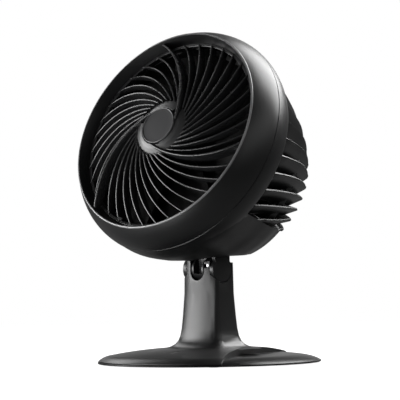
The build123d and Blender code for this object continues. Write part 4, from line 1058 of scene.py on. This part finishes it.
# The white wall behind the fan: the direction of its middle, and a ray's dot products with it where the wall
# begins and is fully white. Then how bright the rest of the room is in a gloss, and what fills the shadows.
BACKDROP = (-0.667, 0.744, -0.035)
WALL_BEGINS = 0.95
WALL_WHITE = 0.995
ROOM_DIM = 0.11
ROOM_FILL = 0.3

# The floor, in metres: a lit surface as far as FLOOR_NEAR, which fades to plain white at FLOOR_FAR.
FLOOR_RADIUS = 4.0
FLOOR_NEAR = 0.22
FLOOR_FAR = 1.1
# Its grey, how much darker that is in a gloss, the glow that the camera, a gloss and everything see in it,
# and the least glow of its far part.
FLOOR_GREY = 0.35
FLOOR_GLOSS_LOSS = 0.25
GLOW_SEEN = 0.9
GLOW_MIRRORED = 0.03
GLOW_ALWAYS = 0.03
GLOW_FAR = 0.09

# Name, place, target and size in metres, and watts.
LAMPS = (
    ("softbox_top", (0.14, 1.01, 1.02), (0.0, 0.0, 0.22), (1.05, 1.05), 33.0),
    ("softbox_left", (-1.11, -0.94, 0.3), (0.0, 0.0, 0.2), (1.15, 0.75), 30.0),
    ("low_front", (-0.06, -0.4, 0.012), (-0.03, -0.2, 0.2), (0.36, 0.2), 2.6),
    ("high_left", (-1.27, 0.3, 0.95), (0.0, 0.0, 0.25), (0.7, 0.6), 5.0),
    ("softbox_right", (1.37, 0.12, 0.8), (0.0, 0.0, 0.2), (1.7, 0.7), 3.8),
)

# The photograph's view: degrees round from the front, up and of roll, then metres.
VIEW_AZIMUTH = 41.89
VIEW_ELEVATION = 2.0
VIEW_ROLL = -0.77
VIEW_DISTANCE = 20.0
VIEW_WIDTH = 0.432
VIEW_AIM = (-0.00586, -0.00526, 0.177)
VIEW_END = 60.0
# The camera's sensor, in millimetres.
SENSOR_WIDTH = 36.0


def area_lamp(name, place, target, size, watts):
    """A soft rectangular lamp that faces its target."""
    bpy.ops.object.light_add(type="AREA", location=place)
    lamp = bpy.context.object
    lamp.name = name
    lamp.data.shape = "RECTANGLE"
    lamp.data.size, lamp.data.size_y = size
    lamp.data.energy = watts
    lamp.rotation_euler = (Vector(target) - Vector(place)).to_track_quat("-Z", "Y").to_euler()


def long_camera():
    """The photograph's long view: a distant camera whose frame is VIEW_WIDTH wide at the aim."""
    azimuth, elevation = math.radians(VIEW_AZIMUTH), math.radians(VIEW_ELEVATION)
    level = math.cos(elevation)
    back = Vector((math.sin(azimuth) * level, -math.cos(azimuth) * level, math.sin(elevation)))
    bpy.ops.object.camera_add(location=Vector(VIEW_AIM) + back * VIEW_DISTANCE)
    camera = bpy.context.object
    camera.data.sensor_width = SENSOR_WIDTH
    camera.data.lens = SENSOR_WIDTH * VIEW_DISTANCE / VIEW_WIDTH
    camera.data.clip_end = VIEW_END
    facing = (-back).to_track_quat("-Z", "Y").to_matrix().to_4x4()
    camera.rotation_euler = (facing @ Matrix.Rotation(math.radians(VIEW_ROLL), 4, "Z")).to_euler()
    bpy.context.scene.camera = camera


def math_node(tree, operation, first, second):
    """One Math node; an input may be a number or another node's output."""
    node = tree.nodes.new("ShaderNodeMath")
    node.operation = operation
    for socket, value in zip(node.inputs, (first, second)):
        if isinstance(value, float):
            socket.default_value = value
        else:
            tree.links.new(value, socket)
    return node.outputs[0]


def ray_kinds(tree):
    """Two factors: rays from the camera, and rays that a gloss or glass sends on."""
    path = tree.nodes.new("ShaderNodeLightPath")
    mirrored = math_node(tree, "MAXIMUM", path.outputs["Is Glossy Ray"], path.outputs["Is Transmission Ray"])
    return path.outputs["Is Camera Ray"], mirrored


def white_room():
    """A room with a white backdrop behind the fan, dim elsewhere, that fills the shadows softly."""
    room = bpy.data.worlds.new("white_room")
    bpy.context.scene.world = room
    room.use_nodes = True
    tree = room.node_tree
    tree.nodes.clear()
    output = tree.nodes.new("ShaderNodeOutputWorld")
    back = tree.nodes.new("ShaderNodeBackground")
    back.inputs["Color"].default_value = (1.0, 1.0, 1.0, 1.0)
    seen, mirrored = ray_kinds(tree)
    place = tree.nodes.new("ShaderNodeTexCoord")
    facing = tree.nodes.new("ShaderNodeVectorMath")
    facing.operation = "DOT_PRODUCT"
    facing.inputs[1].default_value = BACKDROP
    tree.links.new(place.outputs["Generated"], facing.inputs[0])
    wall = remap(tree, facing.outputs["Value"], ROOM_DIM, 1.0, WALL_BEGINS, WALL_WHITE, "SMOOTHSTEP")
    shown = math_node(tree, "MULTIPLY", mirrored, wall)
    fill = math_node(tree, "MULTIPLY", math_node(tree, "SUBTRACT", 1.0, mirrored), ROOM_FILL)
    strength = math_node(tree, "MAXIMUM", math_node(tree, "ADD", shown, fill), seen)
    tree.links.new(strength, back.inputs["Strength"])
    tree.links.new(back.outputs["Background"], output.inputs["Surface"])


def pale_floor():
    """A pale floor that keeps the fan's shadow and runs out into the room's white."""
    bpy.ops.mesh.primitive_circle_add(vertices=96, radius=FLOOR_RADIUS, fill_type="NGON")
    disc = bpy.context.object
    disc.name = "floor"
    material, tree, output = node_tree("pale_floor")
    seen, mirrored = ray_kinds(tree)
    lit = tree.nodes.new("ShaderNodeBsdfDiffuse")
    loss = math_node(tree, "MULTIPLY", mirrored, FLOOR_GLOSS_LOSS)
    tree.links.new(math_node(tree, "SUBTRACT", FLOOR_GREY, loss), lit.inputs["Color"])
    glow = tree.nodes.new("ShaderNodeEmission")
    shown = math_node(tree, "MULTIPLY", seen, GLOW_SEEN)
    shown = math_node(tree, "ADD", shown, math_node(tree, "MULTIPLY", mirrored, GLOW_MIRRORED))
    tree.links.new(math_node(tree, "ADD", shown, GLOW_ALWAYS), glow.inputs["Strength"])
    both = tree.nodes.new("ShaderNodeAddShader")
    tree.links.new(lit.outputs["BSDF"], both.inputs[0])
    tree.links.new(glow.outputs["Emission"], both.inputs[1])
    white = tree.nodes.new("ShaderNodeEmission")
    tree.links.new(math_node(tree, "MAXIMUM", seen, GLOW_FAR), white.inputs["Strength"])
    place = tree.nodes.new("ShaderNodeTexCoord")
    reach = tree.nodes.new("ShaderNodeVectorMath")
    reach.operation = "LENGTH"
    tree.links.new(place.outputs["Object"], reach.inputs[0])
    far = remap(tree, reach.outputs["Value"], 0.0, 1.0, FLOOR_NEAR, FLOOR_FAR, "SMOOTHSTEP")
    blend = tree.nodes.new("ShaderNodeMixShader")
    tree.links.new(far, blend.inputs["Fac"])
    tree.links.new(both.outputs["Shader"], blend.inputs[1])
    tree.links.new(white.outputs["Emission"], blend.inputs[2])
    tree.links.new(blend.outputs["Shader"], output.inputs["Surface"])
    disc.data.materials.append(material)


class FanStage(bpy.types.Operator):
    """The white room, pale floor, soft lamps and the photograph's camera"""

    bl_idname = "fan.stage"
    bl_label = "Stage"

    def execute(self, context):
        begin()
        white_room()
        pale_floor()
        for lamp in LAMPS:
            area_lamp(*lamp)
        long_camera()
        context.scene.view_settings.view_transform = "Standard"
        return {"FINISHED"}


OPERATORS = (
    FanNodeFinishes,
    FanFrontRing,
    FanGrilleRibs,
    FanGrilleHub,
    FanBadge,
    FanCage,
    FanSoftShells,
    FanPropeller,
    FanKnob,
    FanFeet,
    FanBase,
    FanStage,
)


class FanPanel(bpy.types.Panel):
    """Lists the fan's sizes, colours and pieces"""

    bl_idname = "VIEW3D_PT_fan"
    bl_label = "Air Circulator Fan"
    bl_space_type = "VIEW_3D"
    bl_region_type = "UI"
    bl_category = "Fan"

    def draw(self, context):
        scene = context.scene
        for group in (scene.fan_head, scene.fan_cage, scene.fan_stand, scene.fan_colours):
            box = self.layout.box()
            for name in group.__annotations__:
                box.prop(group, name)
        for operator in OPERATORS:
            self.layout.operator(operator.bl_idname)


GROUPS = {
    "fan_head": FanHeadSizes,
    "fan_cage": FanCageSizes,
    "fan_stand": FanStandSizes,
    "fan_colours": FanColours,
}


def register():
    for group in GROUPS.values():
        bpy.utils.register_class(group)
    for name, group in GROUPS.items():
        setattr(bpy.types.Scene, name, PointerProperty(type=group))
    for operator in OPERATORS:
        bpy.utils.register_class(operator)
    bpy.utils.register_class(FanPanel)


def unregister():
    bpy.utils.unregister_class(FanPanel)
    for operator in reversed(OPERATORS):
        bpy.utils.unregister_class(operator)
    for name in GROUPS:
        delattr(bpy.types.Scene, name)
    for group in reversed(GROUPS.values()):
        bpy.utils.unregister_class(group)


def main():
    register()
    for operator in OPERATORS:
        family, action = operator.bl_idname.split(".")
        getattr(getattr(bpy.ops, family), action)()


if __name__ == "__main__":
    main()
